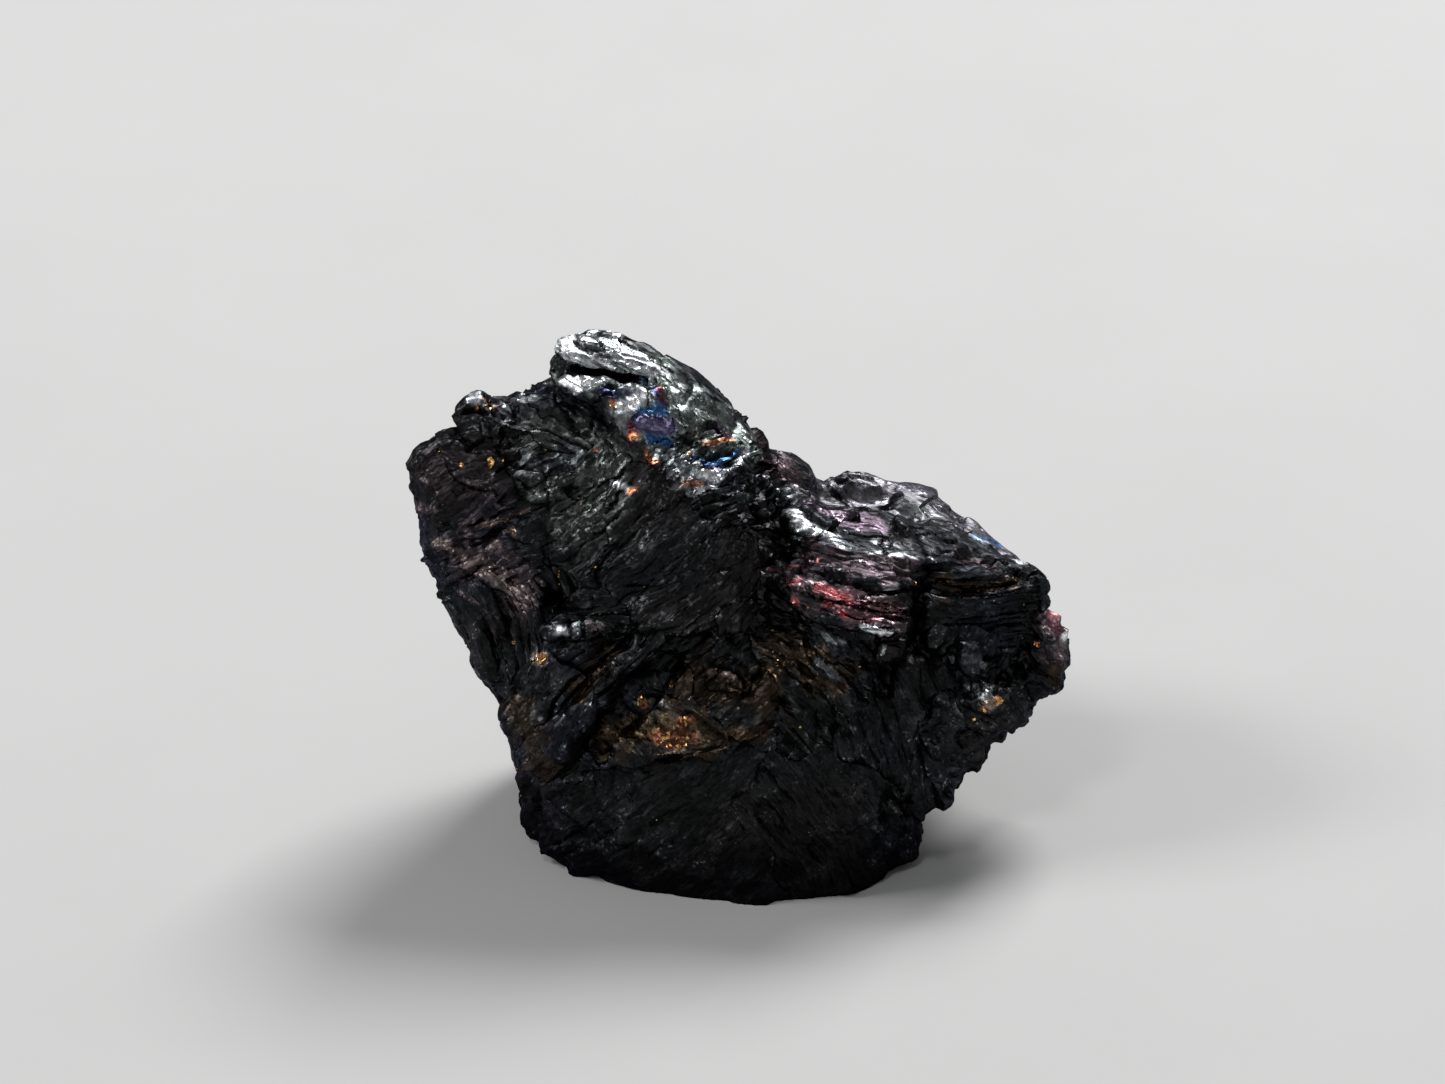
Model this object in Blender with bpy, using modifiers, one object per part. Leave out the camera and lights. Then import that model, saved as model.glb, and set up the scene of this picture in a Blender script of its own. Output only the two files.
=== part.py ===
"""Covellite specimen: one small lump of dark, foliated ore, at its real size.

The lump grew as one piece, so it is one solid. It is made the way the real one is built up: angular
blocks overlap and are fused, thin sheets step across the broken faces, grooves are worn between the
blocks, and the underside is ground flat where the lump rests.

Every length below is in millimetres, and set_on_origin() turns the finished lump into metres. Points on
the front are given as they are seen by someone who looks down on the lump at VIEW_TILT: across to the
right, up in the view, and back from the plane that touches the front. seen() turns them into the
object's own axes.
"""

import math

import bmesh
import bpy
import numpy as np
from mathutils import Vector, noise

NAME = "covellite_specimen"
WIDTH = 25.0  # of the finished lump, along X
VIEW_TILT = math.radians(27.0)
VIEW_FLOOR = 2.72  # height in the view of the floor straight below the origin
VIEW_FRONT = -7.3  # distance along the view from the origin to the front plane

FUSE_VOXEL = 0.24
TRIANGLES = 8000


def seen(across, up, back):
    """A point given as it is seen from the front, in the object's axes."""
    along = back + VIEW_FRONT
    rise = up - VIEW_FLOOR
    return (
        across,
        along * math.cos(VIEW_TILT) + rise * math.sin(VIEW_TILT),
        rise * math.cos(VIEW_TILT) - along * math.sin(VIEW_TILT),
    )


# Each block is the smallest convex form around its corners. Blocks overlap and are fused later.
BLOCKS = {
    "foot": [
        (-6.4, -3.0, -0.6), (-3.8, -5.0, -0.6), (0.8, -6.0, -0.6), (3.9, -5.4, -0.6), (5.7, -2.6, -0.6),
        (5.9, 2.5, -0.6), (3.0, 6.0, -0.6), (-2.6, 6.2, -0.6), (-6.8, 2.4, -0.6), (-8.9, 0.3, 6.4),
        (-8.4, 0.0, 3.0), (-6.4, -3.6, 3.6), (-3.9, -5.0, 5.2), (0.2, -5.3, 5.9), (3.5, -4.8, 5.0),
        (6.9, -2.6, 3.4), (8.0, 0.6, 4.4), (7.6, 5.4, 5.0), (2.6, 8.2, 5.6), (-4.2, 7.9, 6.2),
        (-8.8, 4.2, 6.6),
    ],
    "foot_back_left": [
        (-7.2, 3.2, -0.6), (-4.2, 7.0, -0.6), (-0.4, 7.0, -0.6), (-0.6, 8.6, 5.2), (-5.4, 8.5, 6.4),
        (-9.0, 4.8, 6.0), (-8.4, 5.6, 3.8), (-4.6, 8.0, 3.0), (0.9, 8.3, 4.2), (-3.0, 3.0, 3.0),
    ],
    "foot_back_right": [
        (1.6, 7.0, -0.6), (4.4, 5.4, -0.6), (6.4, 1.8, -0.6), (8.3, 2.4, 4.6), (7.2, 6.6, 4.2),
        (4.2, 8.6, 5.0), (1.8, 8.4, 3.0), (3.0, 2.0, 3.0),
    ],
    "foot_front_left": [
        (-7.0, -1.8, -0.6), (-6.0, -3.7, -0.6), (-6.9, -3.1, 3.0), (-7.9, -0.6, 3.4), (-7.6, 1.2, -0.6),
        (-5.4, -4.5, 1.6), (-6.2, -3.9, 4.0), (-3.0, 0.0, 2.0),
    ],
    "foot_front_right": [
        (4.0, -5.3, -0.6), (5.9, -2.9, -0.6), (6.2, -0.4, -0.6), (6.8, -2.6, 2.2), (5.2, -4.5, 2.6),
        (2.8, -5.6, 1.4), (3.0, 0.0, 2.0),
    ],
    "body": [
        (-7.8, 0.0, 5.0), (-5.8, -2.8, 5.5), (-2.0, -4.2, 5.8), (3.2, -4.2, 5.4), (6.6, -1.8, 4.6),
        (8.2, 1.8, 4.8), (6.0, 7.0, 5.0), (-4.0, 7.2, 5.4), (-8.0, 4.4, 6.0), (-8.8, 1.2, 10.8),
        (-6.4, -1.9, 8.6), (-2.0, -2.9, 8.9), (2.0, -2.6, 9.4), (5.0, -2.3, 8.8), (8.2, 0.4, 8.0),
        (9.0, 3.4, 7.6), (6.6, 7.2, 8.2), (-2.8, 7.8, 10.6), (-8.4, 5.2, 12.0), (-6.4, -1.5, 10.6),
        (-2.0, -0.6, 12.6), (1.2, 0.4, 12.4), (6.4, -0.9, 9.8),
    ],
    "left_root": [
        (-9.4, -0.6, 7.8), (-8.6, -0.4, 4.6), (-8.9, 4.2, 7.0), (-10.0, 1.0, 9.2), (-10.2, 4.2, 9.8),
        (-8.2, -1.9, 6.6), (-7.2, -2.4, 7.6), (-7.0, -2.2, 5.0), (-8.2, 4.6, 5.6), (-6.0, 1.0, 9.0),
    ],
    "fold_root": [
        seen(-8.9, 9.6, 0.9), seen(-7.3, 11.6, 0.3), seen(-5.4, 11.0, 0.0), seen(-5.0, 9.6, -0.1),
        seen(-8.8, 8.1, 1.4), seen(-7.8, 8.3, 0.7), seen(-6.4, 8.2, 0.1), (-6.0, 0.0, 8.0),
    ],
    "right_root": [
        (7.6, 0.6, 3.4), (7.2, 4.8, 4.0), (8.9, 1.2, 5.6), (9.2, 4.6, 6.4), (7.0, -1.6, 5.4),
        (6.4, -2.0, 3.6), (5.0, 2.0, 7.0),
    ],
    "back_wall": [
        (-8.6, 5.6, 6.2), (-5.0, 8.2, 5.2), (0.0, 8.7, 4.8), (4.2, 8.6, 4.6), (7.8, 6.6, 4.4),
        (9.6, 5.4, 7.0), (8.2, 7.0, 8.8), (3.2, 8.5, 9.4), (0.4, 8.3, 10.6), (-5.0, 8.1, 11.4),
        (-9.0, 6.6, 11.4), (-10.2, 5.0, 8.8), (0.0, 4.0, 8.0),
    ],
    "back_saddle": [
        (-9.6, 4.6, 13.6), (-6.6, 5.6, 15.4), (-4.4, 6.6, 14.9), (0.6, 5.6, 12.4), (1.0, 7.4, 11.0),
        (-3.4, 8.5, 11.2), (-5.4, 8.3, 11.2), (-8.6, 6.6, 12.2), (-4.0, 2.0, 12.0),
    ],
    "left_block": [
        seen(-12.5, 16.2, 2.3), seen(-12.2, 15.0, 2.2), seen(-11.9, 13.9, 2.1), seen(-11.4, 12.3, 1.9),
        seen(-10.8, 10.6, 1.8), seen(-9.9, 9.3, 1.6), seen(-9.0, 8.3, 1.6), seen(-11.7, 15.6, 0.9),
        seen(-11.6, 16.8, 2.2), seen(-7.6, 17.4, 0.8), seen(-10.4, 17.2, 1.8), seen(-9.6, 11.0, 0.5),
        seen(-7.2, 10.4, 0.0), seen(-7.3, 14.4, 0.0), (-11.8, 3.8, 13.2), (-8.4, 5.0, 13.6),
        (-9.4, 6.6, 8.4), (-5.0, 6.0, 14.0),
    ],
    "upper_step": [
        seen(-10.3, 18.1, 1.6), seen(-9.9, 18.5, 1.8), seen(-7.6, 18.6, 1.6), seen(-6.8, 18.9, 1.5),
        seen(-10.2, 16.4, 1.1), seen(-7.4, 15.8, 0.3), seen(-6.2, 18.4, 0.7), (-9.4, 3.2, 15.6),
        (-6.2, 3.6, 16.6),
    ],
    "notched_top": [
        seen(-9.3, 17.9, 1.0), seen(-8.8, 18.8, 1.5), seen(-8.1, 18.3, 1.1), seen(-8.7, 17.0, 0.6),
        seen(-7.2, 17.4, 0.4), seen(-7.0, 18.6, 1.0), (-8.0, 3.0, 15.4),
    ],
    "front_face": [
        seen(-7.3, 15.6, 0.5), seen(-6.6, 18.6, 0.9), seen(-5.2, 18.4, 0.3), seen(-2.2, 15.0, -0.4),
        seen(0.4, 15.0, 0.1), seen(1.0, 12.6, 0.4), seen(0.8, 10.4, 0.2), seen(-2.0, 9.9, -0.3),
        seen(-5.0, 10.6, -0.2), seen(-7.2, 11.6, 0.2), seen(-3.2, 13.2, -0.8), seen(-0.8, 12.0, -0.7),
        (-6.0, 4.0, 14.5), (1.0, 5.0, 12.5), (0.5, 4.0, 8.0), (-6.0, 4.0, 8.0),
    ],
    "crest_upper_tier": [
        seen(-6.9, 19.2, 1.2), seen(-6.8, 19.9, 1.3), seen(-6.5, 20.7, 1.7), seen(-5.8, 21.1, 2.1),
        seen(-4.6, 21.1, 2.4), seen(-3.0, 20.4, 2.6), seen(-1.8, 19.6, 2.7), seen(-6.0, 19.8, 1.0),
        seen(-3.4, 19.4, 0.8), seen(-1.9, 18.4, 1.0), (-6.0, 5.0, 16.4), (-2.6, 6.2, 14.4),
    ],
    "crest_lower_tier": [
        seen(-6.6, 18.9, 0.5), seen(-6.5, 19.4, 0.7), seen(-5.4, 19.2, 0.1), seen(-4.9, 18.8, 0.1),
        seen(-3.9, 17.4, -0.1), seen(-3.2, 16.4, -0.2), seen(-3.2, 19.2, 0.9), seen(-1.6, 17.6, 0.6),
        (-5.6, 4.0, 15.4), (-2.0, 4.6, 13.6),
    ],
    "crest_blade": [
        seen(-3.0, 20.3, 2.6), seen(-1.8, 19.6, 2.7), seen(-0.8, 18.7, 2.8), seen(0.1, 17.8, 2.9),
        seen(0.6, 17.2, 3.0), seen(0.5, 16.5, 1.9), seen(-0.2, 15.8, 0.7), seen(-1.6, 15.0, -0.4),
        seen(-2.3, 15.5, -0.3), seen(-3.3, 16.6, 0.0), seen(-3.8, 17.7, 0.3), (-2.6, 6.4, 14.0),
        (0.8, 6.4, 11.6),
    ],
    "behind_the_crest": [
        (-8.2, 3.6, 15.1), (-7.6, 5.4, 14.5), (-5.2, 5.9, 15.6), (-4.2, 6.6, 14.9), (-7.0, 2.0, 15.5),
        (-4.0, 3.0, 15.9), (-8.8, 5.6, 13.2), (-5.0, 7.2, 13.0), (-3.0, 6.4, 14.4), (-2.6, 7.2, 13.2),
    ],
    "saddle_bump": [
        seen(0.5, 16.9, 4.0), seen(2.1, 16.7, 5.2), seen(2.5, 16.2, 5.4), seen(2.8, 15.2, 4.6),
        seen(0.8, 14.6, 2.4), (0.6, 7.6, 9.0), (3.4, 7.6, 9.0), (2.0, 2.0, 8.5),
    ],
    "lobe": [
        seen(2.8, 15.4, 5.6), seen(4.2, 15.8, 6.6), seen(6.0, 15.6, 7.4), seen(7.1, 15.3, 7.4),
        seen(7.9, 14.7, 6.9), seen(8.8, 14.0, 6.4), seen(9.5, 13.4, 5.8), seen(10.7, 12.2, 5.0),
        seen(11.3, 11.8, 4.4), seen(1.4, 14.1, 1.2), seen(2.4, 13.2, 0.9), seen(4.6, 12.9, 0.9),
        seen(7.0, 12.6, 1.5), seen(5.2, 14.3, 3.2), seen(8.2, 13.4, 3.6), (1.6, 0.0, 8.0),
        (8.0, 1.5, 7.4), (10.4, 4.4, 6.2), (8.0, 7.6, 7.4), (2.6, 8.4, 7.6),
    ],
    "sparkling_band": [
        seen(1.7, 15.3, 3.2), seen(2.5, 15.2, 4.4), seen(2.4, 14.2, 1.6), seen(1.4, 13.6, 0.9),
        seen(3.4, 13.5, 1.1), seen(2.2, 12.8, 0.7), (2.0, 2.0, 10.0), (3.6, 3.6, 10.0),
    ],
    "wing_first_plate": [
        seen(1.2, 12.3, 0.5), seen(2.0, 12.8, 0.7), seen(3.2, 13.2, 0.8), seen(7.0, 12.6, 1.2),
        seen(1.4, 11.9, 0.3), seen(2.6, 12.0, -0.1), seen(4.4, 11.8, -0.2), seen(6.4, 11.8, 0.2),
        (2.0, 2.0, 10.6), (6.4, 2.4, 10.2), (5.0, 0.6, 8.4),
    ],
    "wing_second_plate": [
        seen(1.1, 12.2, 0.3), seen(6.6, 12.1, 0.7), seen(1.4, 11.4, 0.0), seen(2.6, 11.3, -0.5),
        seen(4.2, 11.0, -0.7), seen(5.8, 11.2, -0.3), (2.4, 1.4, 9.8), (6.0, 1.6, 9.6),
    ],
    "wing_third_plate": [
        seen(1.5, 11.6, 0.2), seen(6.4, 11.4, 0.4), seen(2.2, 10.9, -0.3), seen(3.6, 10.4, -0.9),
        seen(5.0, 10.2, -0.9), seen(6.1, 10.6, -0.3), (3.0, 1.0, 9.4), (6.0, 1.4, 9.2),
    ],
    "wing_last_plate": [
        seen(2.4, 10.9, 0.1), seen(6.2, 10.6, 0.1), seen(3.4, 10.2, -0.5), seen(4.6, 9.8, -0.9),
        seen(5.7, 9.8, -0.6), (3.4, 0.8, 8.8), (5.8, 1.0, 8.6),
    ],
    "wing_sole": [
        seen(2.2, 10.6, 0.4), seen(3.0, 9.4, 0.0), seen(4.4, 9.1, 0.0), seen(5.6, 9.2, 0.3),
        seen(6.2, 10.0, 0.8), (2.6, 1.0, 9.0), (6.2, 1.2, 8.6), (4.6, 0.4, 6.8),
    ],
    "right_block": [
        seen(6.8, 12.3, 2.0), seen(9.0, 12.1, 2.4), seen(11.3, 11.8, 3.4), seen(11.1, 10.8, 3.3),
        seen(6.8, 9.6, 1.9), seen(9.8, 9.2, 2.8), seen(10.8, 8.6, 3.6), (10.6, 4.8, 6.0), (6.6, 5.0, 6.0),
    ],
    "right_tip": [
        seen(11.2, 10.9, 4.2), seen(11.8, 10.6, 4.4), seen(12.3, 10.0, 4.6), seen(12.5, 9.4, 4.8),
        seen(12.2, 8.8, 4.5), seen(11.7, 7.9, 4.3), seen(11.2, 9.6, 3.6), seen(10.6, 8.2, 3.7),
        (10.6, 3.6, 5.6), (11.2, 2.8, 4.4),
    ],
    "lower_right": [
        seen(6.0, 9.2, 1.4), seen(7.6, 8.6, 1.8), seen(9.4, 8.8, 2.9), seen(11.6, 8.0, 4.4),
        seen(10.6, 7.4, 4.0), seen(9.1, 6.0, 3.4), seen(7.7, 4.7, 3.0), seen(6.7, 3.0, 2.6),
        seen(5.2, 5.4, 1.2), (7.0, 4.6, 3.6), (9.8, 4.4, 6.0), (5.0, 4.0, 4.0),
    ],
    "grey_lump": [
        seen(7.3, 8.8, 1.6), seen(7.8, 9.4, 1.5), seen(8.8, 9.5, 1.9), seen(9.2, 8.8, 2.1),
        seen(8.6, 8.2, 1.8), seen(8.2, 8.9, 1.5), (8.0, 1.0, 7.0),
    ],
    "gold_lump": [
        seen(8.2, 7.6, 2.0), seen(8.8, 8.2, 1.9), seen(9.8, 8.1, 2.3), seen(10.5, 7.4, 3.0),
        seen(10.4, 6.5, 3.2), seen(9.4, 6.1, 2.7), seen(8.5, 6.6, 2.3), seen(9.3, 7.3, 1.6),
        (9.4, 2.0, 5.2),
    ],
    "rib": [
        seen(-2.4, 10.4, 0.3), seen(-2.5, 9.6, -0.1), seen(-4.6, 7.0, -0.1), seen(-6.3, 4.9, 0.5),
        seen(-7.3, 4.0, 1.3), seen(-8.2, 5.0, 1.6), seen(-8.6, 6.8, 1.6), seen(-7.4, 8.6, 0.6),
        seen(-5.6, 9.6, -0.2), seen(-4.2, 10.4, -0.2), (-5.0, 2.0, 4.0), (-5.0, 2.0, 9.0),
    ],
    "bright_ledge": [
        seen(-7.1, 10.2, 0.0), seen(-6.2, 10.6, 0.1), seen(-4.9, 10.5, -0.1), seen(-4.8, 10.0, -0.6),
        seen(-6.9, 9.7, -0.4), seen(-6.2, 9.0, 0.0), (-6.0, 0.0, 9.0),
    ],
    "gold_wedge": [
        seen(-3.6, 7.7, 0.3), seen(-6.0, 4.7, 0.3), seen(-4.6, 5.1, -0.2), seen(-2.5, 5.5, -0.7),
        seen(-0.4, 6.0, -0.5), seen(-1.4, 6.9, 0.2), (-3.6, 0.0, 6.0), (0.0, 0.0, 5.0),
    ],
    "middle_slope": [
        seen(-2.4, 9.2, 0.3), seen(-1.6, 9.8, 0.4), seen(0.6, 9.9, 0.4), seen(3.2, 9.4, 0.4),
        seen(4.8, 8.9, 0.8), seen(-2.8, 7.8, 0.2), seen(-0.6, 6.7, -0.1), seen(1.6, 6.8, 0.0),
        seen(3.4, 5.8, 0.5), seen(5.6, 6.6, 1.2), seen(5.0, 3.2, 1.8), seen(1.4, 3.2, 0.9),
        (0.0, 1.0, 8.0), (5.0, 1.0, 4.0),
    ],
    "back_left": [
        (-11.0, 4.6, 11.4), (-10.6, 4.2, 14.0), (-8.8, 7.4, 11.2), (-9.0, 6.8, 8.0), (-6.4, 8.6, 9.4),
        (-5.2, 8.2, 12.2), (-6.8, 6.4, 14.2), (-5.6, 8.0, 6.6), (-8.6, 5.6, 5.8), (-6.0, 4.0, 9.0),
    ],
    "back_middle": [
        (-3.8, 6.9, 13.2), (-1.4, 8.0, 12.4), (1.6, 8.4, 10.6), (-2.8, 9.1, 9.6), (0.4, 9.3, 8.2),
        (2.0, 8.9, 5.6), (-2.4, 8.9, 5.4), (-0.6, 5.4, 13.4), (0.0, 6.8, 3.4),
    ],
    "back_right": [
        (3.2, 8.7, 9.4), (5.8, 8.8, 9.0), (8.4, 7.4, 8.6), (9.8, 5.6, 6.8), (4.4, 9.1, 6.0),
        (7.6, 7.2, 4.8), (6.6, 4.6, 2.6), (3.4, 7.6, 4.0),
    ],
}

# Grooves and pits worn into the fused lump: start, end, reach to each side, and depth.
GROOVES = {
    "slit_below_the_crest": (seen(-6.2, 19.7, 0.9), seen(-3.4, 19.2, 0.8), 0.40, 0.8),
    "upper_rib_groove": (seen(-2.4, 9.2, 0.0), seen(-4.7, 6.6, 0.2), 0.45, 0.7),
    "lower_rib_groove": (seen(-4.7, 6.6, 0.2), seen(-6.2, 4.5, 0.6), 0.40, 0.6),
    "outer_rib_groove": (seen(-4.0, 10.0, -0.2), seen(-7.0, 6.8, 0.4), 0.35, 0.4),
    "small_hole": (seen(-6.8, 11.3, 0.2), seen(-6.6, 11.0, 0.2), 0.28, 0.7),
    "wing_to_right_block": (seen(6.75, 12.1, 1.0), seen(6.2, 9.4, 0.9), 0.40, 0.7),
    "front_face_to_lobe": (seen(0.9, 15.4, 1.6), seen(1.1, 12.9, 0.6), 0.55, 0.8),
    "front_face_to_wing": (seen(1.1, 12.4, 0.4), seen(2.0, 10.4, 0.3), 0.35, 0.4),
    "small_curved_pit": (seen(-0.5, 8.5, 0.2), seen(0.2, 8.0, 0.2), 0.5, 0.4),
    "right_block_to_tip": (seen(10.9, 10.4, 3.6), seen(10.4, 8.8, 3.4), 0.45, 0.6),
    "hollow_on_the_lobe": (seen(3.4, 15.0, 4.8), seen(6.2, 14.6, 4.8), 0.7, 0.5),
    "below_the_right_block": (seen(7.6, 9.0, 2.0), seen(9.6, 8.4, 2.8), 0.5, 0.5),
    "left_back_valley": ((-3.4, 9.0, 12.0), (-5.0, 8.6, 6.0), 0.6, 0.4),
    "right_back_valley": ((2.6, 9.0, 10.0), (2.4, 9.0, 4.0), 0.6, 0.4),
}

# The sheets of the ore: centre, direction across the sheets, bend in 1/mm, thickness, and how far their
# broken edges stand out or back. Near a centre the sheets lie square to its direction, and the bend
# curves them.
SHEETS = {
    "crest": (seen(-3.0, 19.0, 1.0), (0.30, -0.15, 0.94), -0.03, 0.60, 0.22),
    "front_face": (seen(-2.5, 13.0, 0.0), (0.66, -0.30, -0.66), 0.05, 0.90, 0.20),
    "left_flank": (seen(-10.0, 13.0, 1.5), (-0.80, -0.45, -0.30), 0.04, 0.90, 0.20),
    "rib": (seen(-5.0, 8.0, 0.5), (0.72, -0.30, -0.60), 0.05, 0.90, 0.24),
    "wing": (seen(4.0, 11.0, 0.0), (-0.20, -0.25, -0.94), -0.06, 0.55, 0.20),
    "lobe": (seen(6.0, 14.5, 4.0), (0.25, 0.10, 0.95), -0.03, 0.70, 0.22),
    "right_block": (seen(9.0, 10.0, 3.0), (0.10, -0.30, 0.94), 0.03, 1.10, 0.14),
    "lower_right": (seen(8.5, 6.5, 3.0), (0.35, -0.60, 0.70), 0.03, 1.30, 0.14),
    "middle_slope": (seen(1.0, 7.5, 0.5), (0.62, -0.35, -0.70), 0.05, 1.10, 0.16),
    "foot": (seen(1.0, 2.5, 0.5), (0.96, -0.25, 0.10), 0.02, 1.40, 0.16),
    "left_back": ((-7.0, 8.0, 10.0), (-0.50, 0.30, 0.80), 0.03, 1.00, 0.26),
    "right_back": ((4.0, 8.0, 7.0), (0.50, 0.30, 0.80), 0.03, 1.00, 0.26),
}
SHEET_REACH = 3.6  # how far from its centre each set of sheets rules
SHEET_PATCH = 4.0  # how far along a sheet its edge goes before it breaks elsewhere
SHEET_RISER = 0.25  # the share of a sheet's thickness that the step up to it takes
SHEET_SHIFT = 17.3  # parts the noise of one sheet from the next
NOISE_GAIN = 1.6  # brings the noise's usual reach to about -1 to 1
CHIP_SIZE = 2.4  # of the flat facets where chips broke off
CHIP_TILT = 0.07  # how far a facet's rim stands out or back
CHIP_GAIN = 2.5  # brings a facet's slope to about -1 to 1 over its width
CHIP_SPREAD = 37.0  # far apart in the noise, so that neighbours tilt differently
GROOVE_BRIM = 1.6  # where a groove's side ends, in reaches from its middle


def clear_scene():
    for item in list(bpy.data.objects):
        bpy.data.objects.remove(item)


def collection_named(name):
    made = bpy.data.collections.new(name)
    bpy.context.scene.collection.children.link(made)
    return made


def overlapping_blocks():
    """The convex forms of all the blocks, in one mesh."""
    bm = bmesh.new()
    for corners in BLOCKS.values():
        added = [bm.verts.new(corner) for corner in corners]
        hull = bmesh.ops.convex_hull(bm, input=added)
        spare = {v for v in hull["geom_interior"] + hull["geom_unused"] if isinstance(v, bmesh.types.BMVert)}
        bmesh.ops.delete(bm, geom=list(spare), context="VERTS")
    bmesh.ops.recalc_face_normals(bm, faces=bm.faces)
    mesh = bpy.data.meshes.new("blocks")
    bm.to_mesh(mesh)
    bm.free()
    return mesh


def with_modifier(mesh, collection, kind, **settings):
    """A new mesh: the given one with one modifier applied."""
    carrier = bpy.data.objects.new("carrier", mesh)
    collection.objects.link(carrier)
    modifier = carrier.modifiers.new(kind.lower(), kind)
    for setting, value in settings.items():
        setattr(modifier, setting, value)
    graph = bpy.context.evaluated_depsgraph_get()
    made = bpy.data.meshes.new_from_object(carrier.evaluated_get(graph))
    bpy.data.objects.remove(carrier)
    return made


def vectors_of(items, name):
    """One vector attribute of a mesh's vertices, as rows of three numbers."""
    values = np.empty(len(items) * 3)
    items.foreach_get(name, values)
    return values.reshape(-1, 3)


def smooth_step(value):
    value = np.clip(value, 0.0, 1.0)
    return value * value * (3.0 - 2.0 * value)


def groove_depth(points):
    """How far each point is pushed in by the grooves."""
    depth = np.zeros(len(points))
    for start, end, reach, full in GROOVES.values():
        start, end = np.array(start), np.array(end)
        run = end - start
        along = np.clip((points - start) @ run / (run @ run), 0.0, 1.0)
        gap = np.linalg.norm(points - (start + along[:, None] * run), axis=1)
        depth = np.maximum(depth, full * smooth_step(GROOVE_BRIM - gap / reach))
    return depth


def sheets_at(points):
    """Where each point lies among the sheets, and how far their edges step there.

    The first number grows by one for each sheet.
    """
    level = np.zeros(len(points))
    step = np.zeros(len(points))
    weight = np.zeros(len(points))
    for centre, across, bend, thickness, edge in SHEETS.values():
        across = np.array(across) / np.linalg.norm(across)
        offset = points - np.array(centre)
        height = offset @ across
        sideways = np.linalg.norm(offset - height[:, None] * across, axis=1)
        share = np.exp(-((offset**2).sum(axis=1)) / SHEET_REACH**2) + 1e-9
        level += share * (height + bend * sideways**2) / thickness
        step += share * edge
        weight += share
    return level / weight, step / weight


def sheet_edges(points):
    """How far the sheets' broken edges stand out or back at each point."""
    level, step = sheets_at(points)
    whole = np.floor(level)
    riser = smooth_step((level - whole) / SHEET_RISER)
    out = np.empty(len(points))
    for index, (point, layer, mix) in enumerate(zip(points, whole, riser)):
        spot = Vector(point) / SHEET_PATCH
        here = noise.noise(spot + Vector((0.0, 0.0, SHEET_SHIFT * layer)))
        below = noise.noise(spot + Vector((0.0, 0.0, SHEET_SHIFT * (layer - 1))))
        out[index] = below + (here - below) * mix
    return NOISE_GAIN * out * step


def chips(points):
    """Flat facets where chips broke off: each tilts its own way around its middle, about -1 to 1."""
    out = np.empty(len(points))
    for index, point in enumerate(points):
        spot = Vector(point) / CHIP_SIZE
        middle = noise.voronoi(spot)[1][0]
        tilt = 2.0 * noise.cell_vector(middle * CHIP_SPREAD) - Vector((1.0, 1.0, 1.0))
        out[index] = CHIP_GAIN * tilt.dot(spot - middle)
    return np.clip(out, -1.0, 1.0)


def carve(mesh):
    """Press the grooves, sheets and chips into the skin, by moving each point along its normal."""
    points = vectors_of(mesh.vertices, "co")
    normals = vectors_of(mesh.vertices, "normal")
    moved = sheet_edges(points) + CHIP_TILT * chips(points) - groove_depth(points)
    points += normals * moved[:, None]
    mesh.vertices.foreach_set("co", points.ravel())
    mesh.update()


def grind_underside(mesh):
    """Cut the underside off flat, at the level where the lump rests."""
    bm = bmesh.new()
    bm.from_mesh(mesh)
    cut = bmesh.ops.bisect_plane(
        bm,
        geom=bm.verts[:] + bm.edges[:] + bm.faces[:],
        dist=1e-4,
        plane_co=(0.0, 0.0, 0.0),
        plane_no=(0.0, 0.0, -1.0),
        clear_outer=True,
    )
    rim = [item for item in cut["geom_cut"] if isinstance(item, bmesh.types.BMEdge)]
    bmesh.ops.holes_fill(bm, edges=rim)
    bmesh.ops.triangulate(bm, faces=bm.faces)
    bmesh.ops.recalc_face_normals(bm, faces=bm.faces)
    bm.to_mesh(mesh)
    bm.free()


def set_on_origin(mesh):
    """Scale the lump to metres at its stated width, with its box's underside centred on the origin."""
    points = vectors_of(mesh.vertices, "co")
    low, high = points.min(axis=0), points.max(axis=0)
    points -= [(low[0] + high[0]) / 2, (low[1] + high[1]) / 2, low[2]]
    points *= 0.001 * WIDTH / (high[0] - low[0])
    mesh.vertices.foreach_set("co", points.ravel())
    mesh.update()


def covellite():
    """Dark, metallic indigo-black ore."""
    material = bpy.data.materials.new("covellite")
    material.use_nodes = True
    shader = material.node_tree.nodes["Principled BSDF"]
    shader.inputs["Base Color"].default_value = (0.035, 0.035, 0.045, 1.0)
    shader.inputs["Metallic"].default_value = 0.9
    shader.inputs["Roughness"].default_value = 0.35
    return material


def main():
    clear_scene()
    specimen = collection_named(NAME)
    skin = with_modifier(overlapping_blocks(), specimen, "REMESH", mode="VOXEL", voxel_size=FUSE_VOXEL)
    carve(skin)
    skin.calc_loop_triangles()
    skin = with_modifier(skin, specimen, "DECIMATE", ratio=TRIANGLES / len(skin.loop_triangles))
    grind_underside(skin)
    set_on_origin(skin)
    skin.name = NAME
    skin.materials.append(covellite())
    lump = bpy.data.objects.new(NAME, skin)
    specimen.objects.link(lump)


main()
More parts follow.
